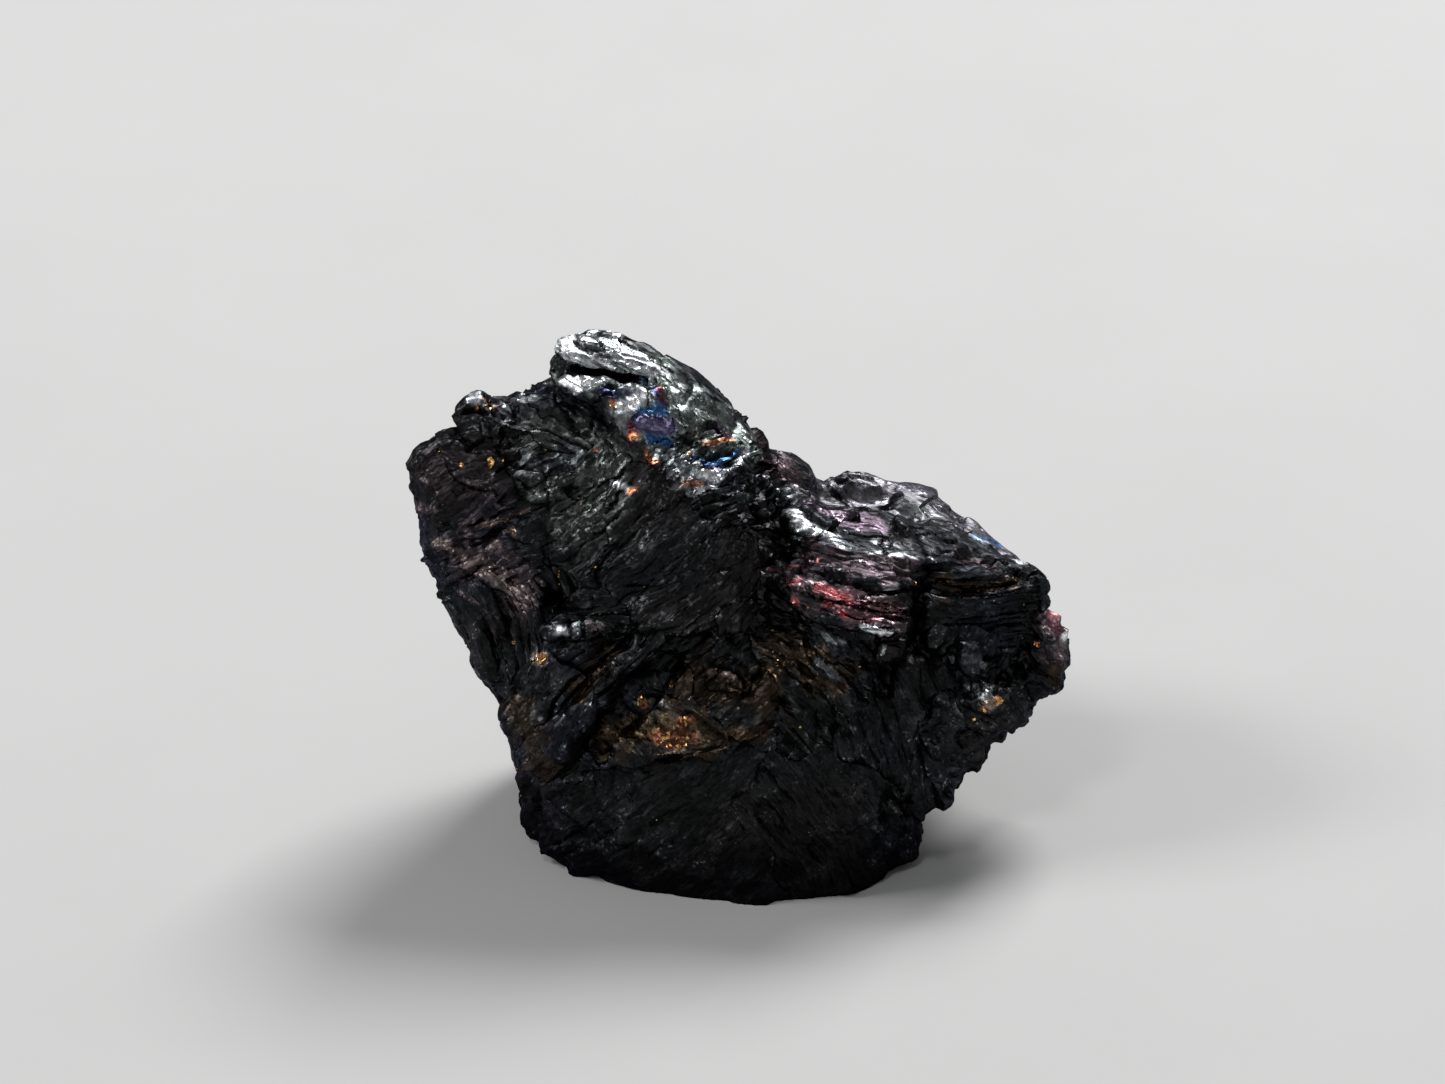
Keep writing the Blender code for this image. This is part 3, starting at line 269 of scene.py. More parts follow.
# The colours, laid over one another in this order: how far a colour reaches, the colour, its share there,
# how polished the surface is, and the place or the line that it keeps to. Besides the ore's own tints, the
# rows marked below paint light: highlights, glints and sheen, and shade in slits, hollows and under edges.
TINTS = {
    "upper_front": (2.3, GREY_GREEN, 0.9, 0.55, (-6.0, 3.2), (-5.0, 1.6)),
    "upper_front_right": (1.3, GREY_GREEN, 0.8, 0.5, (-4.2, 3.2)),
    "upper_front_light": (0.6, SLATE, 0.8, 0.6, (-7.2, 2.8), (-6.2, 2.9), (-5.4, 3.4)),
    "left_block": (1.8, BROWN_PURPLE, 0.6, 0.35, (-10.5, 2.2), (-9.0, 2.0)),
    "left_streaks": (1.2, DIM_MAUVE, 0.8, 0.5, (-9.8, -0.4), (-8.2, -0.8), (-7.4, -2.2)),
    "left_low": (1.0, CHARCOAL, 0.7, 0.4, (-8.6, -3.0), (-8.0, -5.0)),
    "rib": (0.9, UMBER, 0.8, 0.4, (-4.2, -4.3), (-5.2, -5.4)),
    "low_left": (1.0, UMBER, 0.7, 0.35, (-7.3, -6.6), (-6.4, -8.6)),
    "wedge": (1.1, OLIVE, 0.95, 0.4, (-4.2, -7.3), (-2.6, -6.9), (-1.0, -7.2)),
    "middle": (1.2, UMBER, 0.8, 0.4, (-1.0, -5.2), (1.6, -5.6)),
    "brown_lump": (0.6, UMBER, 0.9, 0.4, (0.4, -7.2), (1.4, -7.1)),
    "below_wing": (1.1, UMBER, 0.9, 0.45, (2.0, -4.2), (4.0, -5.0)),
    "saddle": (1.0, BROWN_PURPLE, 1.0, 0.5, (1.6, 3.1), (2.6, 2.5)),
    # Painted sheen: the crest faces the light, so its grey-green and silver are painted brighter than the
    # ore.
    "crest": (1.7, GREEN_SILVER, 1.0, 0.48, (-5.2, 6.8), (-3.2, 6.0), (-1.0, 4.6), (0.2, 3.8)),
    "crest_lower": (0.9, HIGHLIGHT_SILVER, 0.9, 0.6, (-4.0, 5.2), (-2.6, 4.2), (-1.2, 2.6)),
    "crest_top": (0.7, HIGHLIGHT_SILVER, 1.0, 0.7, (-5.2, 7.5), (-4.2, 7.2), (-3.0, 6.7)),
    # Painted highlights on the crest's rim, tiers and streaks.
    "crest_rim": (0.28, HIGHLIGHT_WHITE, 1.0, 0.55, (-5.95, 7.3), (-5.5, 7.8), (-4.6, 7.95), (-3.8, 7.75)),
    "crest_tier": (0.36, HIGHLIGHT_WHITE, 1.0, 0.5, (-5.9, 7.1), (-5.4, 6.85), (-5.0, 6.65)),
    "crest_tier_right": (0.36, HIGHLIGHT_WHITE, 1.0, 0.5, (-4.8, 6.75), (-3.6, 6.5), (-2.7, 6.2)),
    "crest_streaks": (0.2, HIGHLIGHT_WHITE, 0.6, 0.6, (-4.0, 7.3), (-2.9, 6.8), (-2.0, 6.2)),
    # Painted shade in the pocket between the tiers.
    "crest_pocket": (0.16, CHARCOAL, 0.9, 0.5, (-5.6, 7.35), (-4.9, 7.2), (-4.3, 7.1)),
    # Painted highlight on the crest's lip.
    "crest_lip": (0.36, HIGHLIGHT_WHITE, 1.0, 0.55, (-5.9, 6.1), (-5.4, 5.8)),
    "crest_left_side": (0.4, GREY_GREEN, 1.0, 0.6, (-6.3, 6.9), (-6.3, 6.0)),
    # Painted highlight on the thin lip.
    "crest_thin_lip": (0.14, HIGHLIGHT_WHITE, 1.0, 0.85, (-5.2, 6.0), (-4.5, 5.9)),
    # Painted shadow in the slit between the sheets.
    "crest_slit": (0.2, PAINTED_SHADE, 1.0, 0.3, (-5.6, 6.4), (-4.5, 6.2), (-3.2, 6.15)),
    "crest_dark": (0.36, INDIGO, 0.9, 0.6, (-4.4, 5.6), (-3.6, 5.3)),
    # Painted highlights: a patch and a speck on the crest.
    "crest_highlight_patch": (0.34, HIGHLIGHT_WHITE, 1.0, 0.85, (-3.7, 5.05), (-3.0, 5.25)),
    "crest_highlight_speck": (0.17, HIGHLIGHT_WHITE, 0.9, 0.8, (-3.3, 5.8)),
    "crest_ice": (0.2, ICE, 1.0, 0.85, (-3.0, 5.85), (-2.6, 5.8)),
    "crest_deep_blue": (0.26, INDIGO, 1.0, 0.7, (-2.8, 5.65), (-2.45, 5.25)),
    "crest_wine": (0.17, WINE, 0.9, 0.65, (-2.4, 5.55), (-2.2, 4.95)),
    "crest_blue": (0.27, BLUE, 1.0, 0.75, (-3.05, 4.75), (-2.3, 4.85)),
    "crest_lavender": (0.38, LAVENDER, 1.0, 0.7, (-3.1, 4.35), (-2.0, 4.25)),
    "crest_blue_low": (0.26, BLUE, 1.0, 0.75, (-2.75, 3.85), (-1.95, 3.66)),
    "crest_red_edge": (0.14, WINE, 1.0, 0.6, (-3.45, 4.4), (-3.35, 3.8)),
    "crest_orange": (0.17, ORANGE, 1.0, 0.8, (-3.3, 3.92)),
    "crest_orange_edge": (0.11, ORANGE, 0.9, 0.8, (-2.83, 3.3), (-2.6, 2.9)),
    "crest_orange_speck": (0.14, ORANGE, 0.9, 0.8, (-4.1, 5.15)),
    # Painted highlights: a light streak on the crest face and along its edge.
    "face_streak": (0.16, HIGHLIGHT_SILVER, 0.8, 0.6, (-1.9, 5.6), (-1.2, 4.9), (-0.7, 4.2)),
    "face_edge": (0.1, HIGHLIGHT_SILVER, 0.6, 0.5, (-2.3, 6.2), (-1.0, 5.5), (0.2, 4.7), (1.2, 3.9)),
    "face_violet": (0.25, VIOLET, 0.9, 0.6, (-0.25, 4.25), (0.05, 4.1)),
    "face_orange": (0.13, ORANGE, 0.45, 0.7, (-0.8, 3.6), (-0.2, 3.72), (0.3, 3.78)),
    "face_gold": (0.13, GOLD, 0.9, 0.8, (-1.27, 3.26)),
    "foot_blue": (0.18, BLUE, 0.8, 0.75, (-1.15, 3.05), (-0.3, 2.95), (0.5, 3.3)),
    "foot_blue_low": (0.15, INDIGO, 0.9, 0.75, (-0.4, 2.75), (0.3, 2.8)),
    # Painted highlights at the crest's foot.
    "foot_highlight": (0.26, HIGHLIGHT_WHITE, 1.0, 0.8, (-1.1, 2.6), (-0.3, 2.45)),
    "foot_highlight_line": (0.13, HIGHLIGHT_WHITE, 0.7, 0.75, (-0.8, 1.95), (0.2, 2.6), (0.9, 3.4)),
    "foot_tip": (0.18, HIGHLIGHT_WHITE, 0.9, 0.8, (-1.25, 1.8), (-0.9, 1.85)),
    "foot_red": (0.11, ORANGE, 0.5, 0.7, (-1.5, 2.1), (-0.7, 2.15)),
    # Painted shade: black on the front below the crest's edge.
    "painted_shade_triangle": (0.5, PAINTED_SHADE, 0.95, 0.3, (-4.6, 5.1), (-4.4, 4.4)),
    # Painted highlight: a white streak on the front.
    "front_streak": (0.14, HIGHLIGHT_WHITE, 0.7, 0.7, (-4.1, 2.18), (-3.6, 2.0)),
    "front_streak_end": (0.12, ORANGE, 0.7, 0.7, (-3.4, 1.9)),
    "front_light_step": (0.14, SLATE, 1.0, 0.6, (-0.25, 1.85), (0.6, 1.85)),
    # Painted highlights: white and silver glints along the top of the left block.
    "left_top_highlight": (0.13, HIGHLIGHT_WHITE, 0.7, 0.6, (-9.3, 5.15), (-8.9, 5.2)),
    "left_top_glitter": (0.12, HIGHLIGHT_SILVER, 0.8, 0.6, (-8.2, 5.15), (-7.6, 5.2), (-7.0, 5.3)),
    "left_top_gold": (0.13, TAN, 0.8, 0.6, (-8.7, 5.15), (-8.4, 5.05)),
    # Painted highlight along the left ridge.
    "left_ridge": (0.12, TAN, 0.45, 0.5, (-9.1, 0.57), (-8.2, 0.8), (-7.3, 1.15)),
    "left_upper_ridge": (0.2, MAUVE, 0.7, 0.5, (-11.5, 1.3), (-10.8, 1.2)),
    # Painted reflections on the left flank: bright rosy grey patches and a tan glint.
    "left_tan_patch": (0.22, ROSY_GREY_HIGHLIGHT, 0.95, 0.6, (-10.7, -0.05), (-10.2, -0.1), (-9.4, -0.8)),
    "left_tan_rise": (0.16, ROSY_GREY_HIGHLIGHT, 0.9, 0.6, (-9.4, -0.8), (-8.8, -0.3), (-8.25, -0.05)),
    "left_tan_glint": (0.13, TAN, 1.0, 0.7, (-10.25, 0.0), (-10.1, -0.2)),
    "left_tan_facet": (0.15, TAN, 0.9, 0.7, (-7.85, 0.45), (-7.75, 0.15)),
    # Painted reflections: pale streaks on the left flank.
    "left_pale": (0.16, HIGHLIGHT_SILVER, 0.9, 0.7, (-8.0, -1.9), (-7.35, -2.25)),
    "left_pale_wide": (0.42, ROSY_GREY_HIGHLIGHT, 0.75, 0.55, (-8.8, -1.1), (-8.1, -1.6), (-7.3, -2.2)),
    "left_pale_up": (0.3, SLATE, 0.9, 0.6, (-7.5, 2.3), (-7.2, 2.1)),
    # Painted highlight: a light bit on the left block.
    "left_highlight_bit": (0.12, HIGHLIGHT_SILVER, 0.9, 0.7, (-7.3, 2.95), (-7.1, 2.9)),
    "left_streak_up": (0.1, MAUVE, 0.8, 0.6, (-9.6, -1.8), (-9.1, -2.3)),
    "left_streak_down": (0.1, MAUVE, 0.6, 0.5, (-8.85, -2.25), (-8.6, -3.2), (-8.35, -4.3)),
    "left_low_speck": (0.14, TAN, 0.9, 0.7, (-7.8, -3.75)),
    "left_gold_glow": (0.22, TAN, 0.9, 0.6, (-7.0, -4.35), (-6.65, -4.35)),
    # Painted shade in the hole.
    "hole_painted_shade": (0.45, PAINTED_SHADE, 1.0, 0.2, (-6.3, -2.1), (-5.9, -2.2)),
    # Painted highlights: the light that the ledge catches.
    "ledge": (0.24, SLATE, 0.9, 0.5, (-6.2, -3.35), (-5.6, -3.3), (-4.7, -3.1)),
    "ledge_light": (0.16, HIGHLIGHT_WHITE, 0.9, 0.55, (-6.1, -3.4), (-5.85, -3.4)),
    "ledge_light_middle": (0.12, HIGHLIGHT_SILVER, 0.9, 0.6, (-5.45, -3.25), (-5.4, -3.4)),
    "ledge_light_right": (0.13, ROSY_GREY_HIGHLIGHT, 0.9, 0.55, (-4.95, -3.2), (-4.6, -3.2)),
    # Painted shade: black down the groove.
    "groove_painted_shade": (0.4, PAINTED_SHADE, 1.0, 0.2, (-2.9, -4.7), (-4.3, -6.0), (-5.7, -8.0)),
    "pit_light": (0.15, TAN, 0.7, 0.6, (-0.5, -4.75), (0.4, -5.0)),
    "wedge_edge": (0.12, TAN, 0.6, 0.6, (-2.5, -7.95), (0.2, -7.6)),
    "wedge_rust": (0.4, RUST, 0.45, 0.5, (-2.5, -7.3), (-1.9, -7.4), (-1.2, -7.3)),
    "wedge_rust_right": (0.2, RUST, 0.5, 0.5, (-1.6, -6.75), (-1.1, -6.65)),
    "wedge_rust_top": (0.18, RUST, 0.9, 0.6, (-3.0, -6.0), (-2.85, -6.15)),
    "wing_top": (0.85, DIM_MAUVE, 0.95, 0.3, (3.3, -0.5), (5.2, -0.9), (7.0, -1.0)),
    "wing": (0.85, MAUVE, 0.95, 0.45, (2.5, -1.5), (4.0, -2.1), (6.3, -2.7)),
    "wing_left": (0.45, CHARCOAL, 0.8, 0.5, (2.2, -1.5), (2.9, -1.85), (3.3, -2.2)),
    "wing_glow": (0.32, ROSE, 0.8, 0.5, (3.6, -1.75), (4.7, -2.15)),
    "wing_upper_glow": (0.2, ROSE, 0.8, 0.5, (2.4, -1.1), (3.0, -1.0)),
    "wing_right": (0.5, ROSE, 0.35, 0.5, (4.6, -2.4), (5.8, -2.7), (6.6, -2.6)),
    "wing_edge": (0.12, WINE, 0.9, 0.5, (1.7, -1.05), (2.6, -1.05)),
    # The wing's pink tarnish, painted bright as highlights in spots and strips.
    "wing_pink_one": (0.25, PINK_HIGHLIGHT, 1.0, 0.45, (2.78, -1.52)),
    "wing_pink_two": (0.24, PINK_HIGHLIGHT, 1.0, 0.45, (2.83, -2.15)),
    "wing_pink_strip": (0.2, PINK_HIGHLIGHT, 1.0, 0.5, (3.6, -1.66), (4.15, -1.86), (4.75, -2.05)),
    "wing_pink_low": (0.14, PINK_HIGHLIGHT, 0.8, 0.5, (3.95, -2.33), (4.6, -2.72)),
    "wing_pink_spot": (0.11, PINK_HIGHLIGHT, 0.8, 0.6, (3.54, -0.66)),
    "wing_ribbon": (0.15, ROSE, 1.0, 0.6, (4.8, -2.7), (5.7, -3.1)),
    "wing_ribbon_right": (0.13, TAN, 0.5, 0.5, (5.4, -2.3), (6.6, -2.6)),
    # Painted highlights on the wing's lower ribbons and below them.
    "wing_highlight": (0.14, HIGHLIGHT_WHITE, 0.9, 0.6, (5.26, -3.18), (6.3, -3.45)),
    "wing_foot_highlight": (0.2, HIGHLIGHT_SILVER, 0.9, 0.6, (3.85, -3.45), (4.5, -3.8)),
    "wing_tail": (0.12, HIGHLIGHT_WHITE, 0.8, 0.7, (6.0, -4.0)),
    "below_wing_pale": (0.3, SLATE, 0.9, 0.6, (3.6, -4.6), (4.2, -5.0)),
    "lobe": (1.5, LILAC_GREY, 0.85, 0.4, (4.2, 1.6), (6.5, 1.6), (8.6, 1.0), (10.2, 0.0)),
    "lobe_violet": (0.75, DUSKY_VIOLET, 0.9, 0.45, (3.4, 1.1), (4.6, 0.8), (5.8, 0.7)),
    # Painted shade in the lobe's bowl.
    "lobe_bowl_painted_shade": (0.22, CHARCOAL, 0.9, 0.4, (4.3, 1.7), (5.0, 1.35), (6.3, 1.35)),
    "lobe_navy": (0.24, CHARCOAL, 0.8, 0.4, (6.1, 0.8), (6.4, 0.6)),
    # Painted highlights on the lobe.
    "lobe_highlight_left": (0.18, HIGHLIGHT_WHITE, 0.75, 0.6, (2.9, 1.95), (3.4, 1.7)),
    "lobe_highlight_top": (0.14, HIGHLIGHT_SILVER, 0.6, 0.6, (6.6, 2.4), (7.5, 2.2), (8.3, 1.8)),
    "lobe_highlight_right": (0.45, HIGHLIGHT_SILVER, 0.4, 0.45, (7.0, 1.4), (8.2, 1.0)),
    "lobe_teal": (0.28, CHARCOAL, 0.8, 0.5, (8.7, 1.3), (8.9, 0.8)),
    "lobe_ice": (0.22, ICE, 0.8, 0.7, (9.4, 0.1), (9.8, 0.0)),
    "lobe_blue": (0.22, BLUE, 1.0, 0.7, (10.1, 0.0), (10.3, -0.2)),
    # Painted highlights and glints: a light band with bright flakes, lighter grey beside and below it.
    "band": (0.22, HIGHLIGHT_SILVER, 0.7, 0.6, (2.6, 1.0), (3.0, 0.55), (3.6, 0.25), (4.4, -0.2)),
    "band_flakes": (0.12, HIGHLIGHT_WHITE, 1.0, 0.6, (2.65, 0.95), (2.95, 0.6), (3.5, 0.33), (4.2, 0.06)),
    "band_left": (0.3, SLATE, 0.9, 0.6, (2.2, 1.8), (2.6, 1.2)),
    "band_low": (0.24, SLATE, 0.9, 0.5, (4.4, -0.1), (5.6, -0.4), (7.4, -0.6)),
    "band_low_flakes": (0.07, HIGHLIGHT_WHITE, 0.6, 0.6, (6.3, -0.66), (7.0, -0.62), (7.7, -0.57)),
    "band_upper_flakes": (0.07, HIGHLIGHT_SILVER, 0.5, 0.6, (5.6, -0.05), (7.0, -0.1)),
    "brown_hollow": (0.55, BROWN_PURPLE, 0.95, 0.45, (8.9, -0.6), (9.8, -0.8)),
    "block_top": (0.35, UMBER, 0.9, 0.5, (8.0, -1.5), (9.6, -1.7), (11.0, -1.4)),
    # Painted highlights on the block's edge and corner.
    "block_edge": (0.11, HIGHLIGHT_SILVER, 0.9, 0.7, (10.35, -0.9), (10.6, -1.25)),
    "block_corner": (0.18, HIGHLIGHT_WHITE, 0.9, 0.6, (11.1, -0.7), (11.6, -1.0), (12.05, -1.4)),
    "block_rose": (0.12, TAN, 0.8, 0.5, (8.2, -2.0), (8.5, -2.2)),
    "block_speck": (0.1, TAN, 0.8, 0.5, (10.95, -1.65)),
    # Painted highlights: light grey spots lower right.
    "grey_highlights": (0.26, HIGHLIGHT_SILVER, 0.4, 0.5, (9.2, -4.4), (9.7, -4.5)),
    "grey_highlights_left": (0.16, SLATE, 0.9, 0.5, (8.4, -4.65)),
    "lower_right": (0.8, CHARCOAL, 0.9, 0.45, (9.5, -5.6), (9.6, -6.5)),
    # Painted highlights: light grey patches on the lower right.
    "lower_right_blue": (0.24, HIGHLIGHT_SILVER, 0.5, 0.5, (9.3, -5.5), (9.9, -5.7)),
    "lower_right_pale": (0.26, HIGHLIGHT_SILVER, 0.5, 0.6, (8.7, -6.1), (8.95, -6.3)),
    "lower_right_glow": (0.24, TAN, 1.0, 0.6, (9.77, -6.2), (10.3, -5.95)),
    "lower_right_lilac": (0.18, MAUVE, 1.0, 0.6, (10.1, -6.85)),
    "tip": (0.6, MAUVE, 0.9, 0.45, (12.3, -2.9), (12.7, -3.6), (12.5, -4.1)),
    # Painted highlights at the tip: bright pink tarnish and white.
    "tip_red": (0.2, PINK_HIGHLIGHT, 0.8, 0.5, (12.3, -2.65), (12.4, -2.85)),
    "tip_pink": (0.24, ROSE, 0.9, 0.6, (12.4, -3.1), (12.6, -3.4)),
    "tip_highlight": (0.18, HIGHLIGHT_WHITE, 0.9, 0.6, (12.75, -3.5), (12.85, -3.55)),
    "tip_tan": (0.16, TAN, 0.6, 0.5, (12.65, -4.0), (12.3, -4.1)),
    "tip_below": (0.7, UMBER, 0.7, 0.35, (12.3, -4.8)),
    "knob": (0.28, CHARCOAL, 1.0, 0.5, (13.08, -3.55), (13.12, -4.1)),
    # Behind and at the sides, with places in the frame's own axes.
    "back_upper": (1.9, GREY_GREEN, 0.9, 0.5, (-8.0, 5.5, 12.5), (-5.0, 6.0, 11.0)),
    # Painted sheen and highlights on the back of the crest, as on its front.
    "back_crest": (1.2, GREEN_SILVER, 0.9, 0.5, (-6.0, 3.5, 15.5), (-3.5, 4.5, 16.0), (-1.0, 4.5, 14.0)),
    "back_crest_tier": (0.28, HIGHLIGHT_SILVER, 0.9, 0.6, (-5.8, 3.5, 16.5), (-4.4, 4.0, 16.8), (-3.0, 4.0, 16.4)),
    "back_crest_line": (0.16, HIGHLIGHT_WHITE, 0.7, 0.6, (-4.5, 5.0, 14.6), (-2.8, 5.2, 14.2), (-1.4, 5.0, 13.2)),
    "back_crest_blue": (0.3, BLUE, 0.8, 0.7, (-3.6, 5.0, 15.3), (-2.9, 5.0, 15.0)),
    "back_mauve": (1.2, MAUVE, 0.8, 0.5, (-8.5, 5.0, 9.5), (-6.5, 6.5, 8.0)),
    "back_tan": (0.16, TAN, 0.8, 0.6, (-7.8, 5.8, 9.2), (-6.4, 6.6, 8.7)),
    "back_saddle": (0.9, BROWN_PURPLE, 0.9, 0.4, (0.5, 5.5, 11.5), (1.5, 6.0, 9.0)),
    "back_saddle_rose": (0.35, ROSE, 0.8, 0.5, (2.0, 5.5, 11.2), (3.0, 5.8, 10.6)),
    "back_lobe": (1.7, SLATE, 0.8, 0.5, (4.5, 6.0, 9.5), (7.5, 6.5, 8.0), (10.0, 5.0, 6.5)),
    "back_lobe_violet": (0.4, DUSKY_VIOLET, 0.7, 0.5, (3.8, 6.6, 7.9), (5.0, 6.8, 7.2), (6.2, 6.8, 6.4)),
    "back_lobe_blue": (0.16, BLUE, 0.8, 0.7, (6.0, 6.5, 8.9), (6.8, 6.6, 8.5), (7.6, 6.5, 8.0)),
    # Painted highlights: light flakes on the back of the lobe.
    "back_lobe_flakes": (0.16, HIGHLIGHT_SILVER, 0.9, 0.6, (4.6, 6.0, 9.9), (6.0, 6.2, 9.6), (7.6, 6.0, 8.9)),
    "back_low": (1.5, UMBER, 0.8, 0.4, (-3.5, 7.0, 5.0), (-0.5, 7.0, 4.4)),
    "back_low_olive": (0.55, OLIVE, 0.8, 0.4, (-2.8, 7.2, 5.4), (-1.6, 7.2, 5.0)),
    "left_side_upper": (1.5, GREY_GREEN, 0.8, 0.5, (-11.5, 1.0, 11.5), (-10.5, 3.5, 10.0)),
    "left_side_mauve": (1.0, DIM_MAUVE, 0.9, 0.5, (-10.8, 2.5, 8.0), (-9.5, 4.5, 6.8)),
    "left_side_tan": (0.18, TAN, 0.8, 0.6, (-11.3, 1.5, 8.8), (-10.8, 3.2, 8.4), (-9.8, 4.6, 8.2)),
    "left_side_slate": (0.6, SLATE, 0.8, 0.5, (-9.8, 2.0, 5.6), (-8.8, 3.6, 4.8)),
    "right_side_slate": (1.0, SLATE, 0.8, 0.5, (11.0, 2.5, 8.0), (11.5, 3.8, 6.6)),
    "right_side_umber": (1.2, UMBER, 0.8, 0.4, (9.5, 2.0, 4.2), (8.0, 4.0, 3.2)),
}
PLAIN_POLISH = 0.38  # where no colour of the table reaches
# Painted shade: towards the underside the colour is painted darker, down to black.
FOOT_TOP = 4.5  # the lump darkens from this height down to its underside
FOOT_SHADE = 0.85  # the share of black at the underside
GLINT = 0.9  # painted glint: how much brighter a glinting chip is painted than a dull one
CLEAN_FROM = 0.45  # the share of the chips that are dull
LINES_PER_MM = (8.0, 0.7, 0.7)  # of the finest lines: across, along and beside the sheets
LINE_DEPTH = 0.05
GRIT_PER_MM = 9.0
SCALES_PER_MM = (13.0, 2.6, 7.0)  # of the smallest scales of ore: across, along and beside the sheets
SCALE_LEAN = 0.55  # how far a scale leans its own way, which makes it glint
# The tiny specks are painted glints: some are painted several times brighter than the ore.
SPECKS_PER_MM = 11.0
SWARMS_PER_MM = 1.1
SPECKS_FROM = 0.85  # the share of the specks that don't shine
SPECK_LIGHT = 6.0  # how much brighter than the ore around it the brightest speck is

# Grains of golden ore: the place, how far the cluster reaches, how many grains, and the size of one.
GRAINS = {
    "upper_left": ((-8.6, 3.02), 0.12, 7, 0.2),
    "far_left": ((-9.72, 2.85), 0.08, 4, 0.12),
    "left_top": ((-8.9, 5.2), 0.4, 9, 0.1),
    "left_edge": ((-10.5, 3.4), 0.15, 3, 0.08),
    "below_triangle": ((-4.7, 3.45), 0.12, 4, 0.09),
    "beside_triangle": ((-4.1, 5.1), 0.08, 3, 0.08),
    "crest_edge": ((-3.3, 3.9), 0.08, 5, 0.11),
    "crest_foot": ((-1.27, 3.26), 0.08, 4, 0.08),
    "left_ledge": ((-6.75, -4.32), 0.14, 7, 0.17),
    "left_spot": ((-7.8, -3.75), 0.06, 3, 0.09),
    "hole_edge": ((-6.2, -1.2), 0.15, 3, 0.07),
    "wedge_top": ((-3.0, -5.95), 0.18, 7, 0.14),
    "wedge_middle": ((-1.5, -6.7), 0.2, 6, 0.11),
    "wedge_low": ((-2.2, -7.3), 0.45, 14, 0.12),
    "wedge_right": ((-1.5, -7.5), 0.3, 8, 0.11),
    "dot": ((-1.9, -5.4), 0.06, 2, 0.1),
    "middle": ((2.2, -4.4), 0.5, 6, 0.06),
    "lower_right": ((10.3, -5.95), 0.14, 8, 0.19),
    "lower_right_side": ((9.77, -6.2), 0.1, 4, 0.12),
    "lower_right_low": ((9.4, -6.65), 0.1, 3, 0.08),
    "tip": ((11.75, -3.8), 0.1, 7, 0.17),
    "back_low": ((-2.2, 7.3, 5.2), 0.5, 10, 0.13),
    "back_lobe": ((8.6, 6.2, 6.6), 0.25, 6, 0.14),
    "back_upper": ((-6.6, 5.8, 11.8), 0.2, 5, 0.13),
    "back_crest": ((-2.2, 5.2, 13.8), 0.15, 4, 0.1),
    "left_side": ((-10.6, 3.2, 8.9), 0.2, 6, 0.14),
    "left_side_low": ((-9.2, 2.8, 5.0), 0.3, 5, 0.1),
    "right_side": ((9.8, 3.4, 5.0), 0.3, 7, 0.12),
}
STRAY_GRAINS = 90
STRAY_SIZE = 0.07
SEED = 7  # to which each kind of noise adds a number of its own

# The studio: each light's direction from the lump, its distance and size in metres, and its power in watts.
LIGHTS = {
    "key": ((0.3, 0.62, 0.78), 0.5, 0.2, 3.0),
    "fill": ((-0.8, -0.1, 0.6), 0.5, 0.16, 1.2),
    "front": ((-0.25, -0.55, 0.8), 0.6, 0.1, 0.5),
}
SURROUNDINGS = (0.2, 0.205, 0.21, 1.0)  # the light from all round
FLOOR_REACH = 3.0  # metres
FLOOR_GREYS = ((0.43, 0.43, 0.425), (0.47, 0.47, 0.465))  # the darkest and the lightest


def vectors_of(items, name):
    """One vector property of all a mesh's vertices or faces, as an array."""
    values = np.empty(len(items) * 3)
    items.foreach_get(name, values)
    return values.reshape(-1, 3)


def unit(vector):
    return np.array(vector, float) / np.linalg.norm(vector)


def smooth_step(value):
    value = np.clip(value, 0.0, 1.0)
    return value * value * (3.0 - 2.0 * value)


def scatter(cells, seed):
    """A number from 0 to 1 for each row of whole numbers, with no pattern from one to the next."""
    mixed = cells.astype(np.int64).astype(np.uint64)
    value = mixed[:, 0] * np.uint64(0x9E3779B97F4A7C15) + mixed[:, 1] * np.uint64(0xC2B2AE3D27D4EB4F)
    value += mixed[:, 2] * np.uint64(0x165667B19E3779F9) + np.uint64(seed * 0x27D4EB2F)
    value ^= value >> np.uint64(29)
    value *= np.uint64(0xBF58476D1CE4E5B9)
    value ^= value >> np.uint64(32)
    value *= np.uint64(0x94D049BB133111EB)
    value ^= value >> np.uint64(29)
    return (value >> np.uint64(40)).astype(float) / 2.0**24


def smooth_noise(points, seed):
    """Noise from -1 to 1 that changes gently from one whole number to the next."""
    cell = np.floor(points)
    part = smooth_step(points - cell)
    total = np.zeros(len(points))
    for corner in itertools.product((0, 1), repeat=3):
        share = np.where(corner, part, 1.0 - part).prod(axis=1)
        total += share * scatter(cell + corner, seed)
    return 2.0 * total - 1.0


def layered_noise(points, seed, layers=3):
    """Noise with finer noise on it, about -1 to 1."""
    total = sum(smooth_noise(points * 2.0**k, seed + k) / 2.0**k for k in range(layers))
    return total / (2.0 - 2.0 ** (1 - layers)) * 1.5


def facets(points, seed):
    """Broken facets of size 1: shallow hollows, each tilted its own way, with sharp ridges between them.

    Gives the height of the skin, about -1 to 1, and a number from 0 to 1 that differs from facet to facet.
    """
    cell = np.floor(points)
    lowest = np.full(len(points), np.inf)
    best = np.zeros_like(points)
    for neighbour in itertools.product((-1, 0, 1), repeat=3):
        other = cell + neighbour
        offset = points - other
        level = 0.3 * scatter(other, seed + 6)
        for axis in range(3):
            gap = offset[:, axis] - scatter(other, seed + axis)
            level += gap * (gap + HOLLOW_TILT * (scatter(other, seed + 3 + axis) - 0.5))
        lower = level < lowest
        lowest[lower] = level[lower]
        best[lower] = other[lower]
    return np.clip(2.2 * lowest - 0.3, -1.0, 1.0), scatter(best, seed + 7)


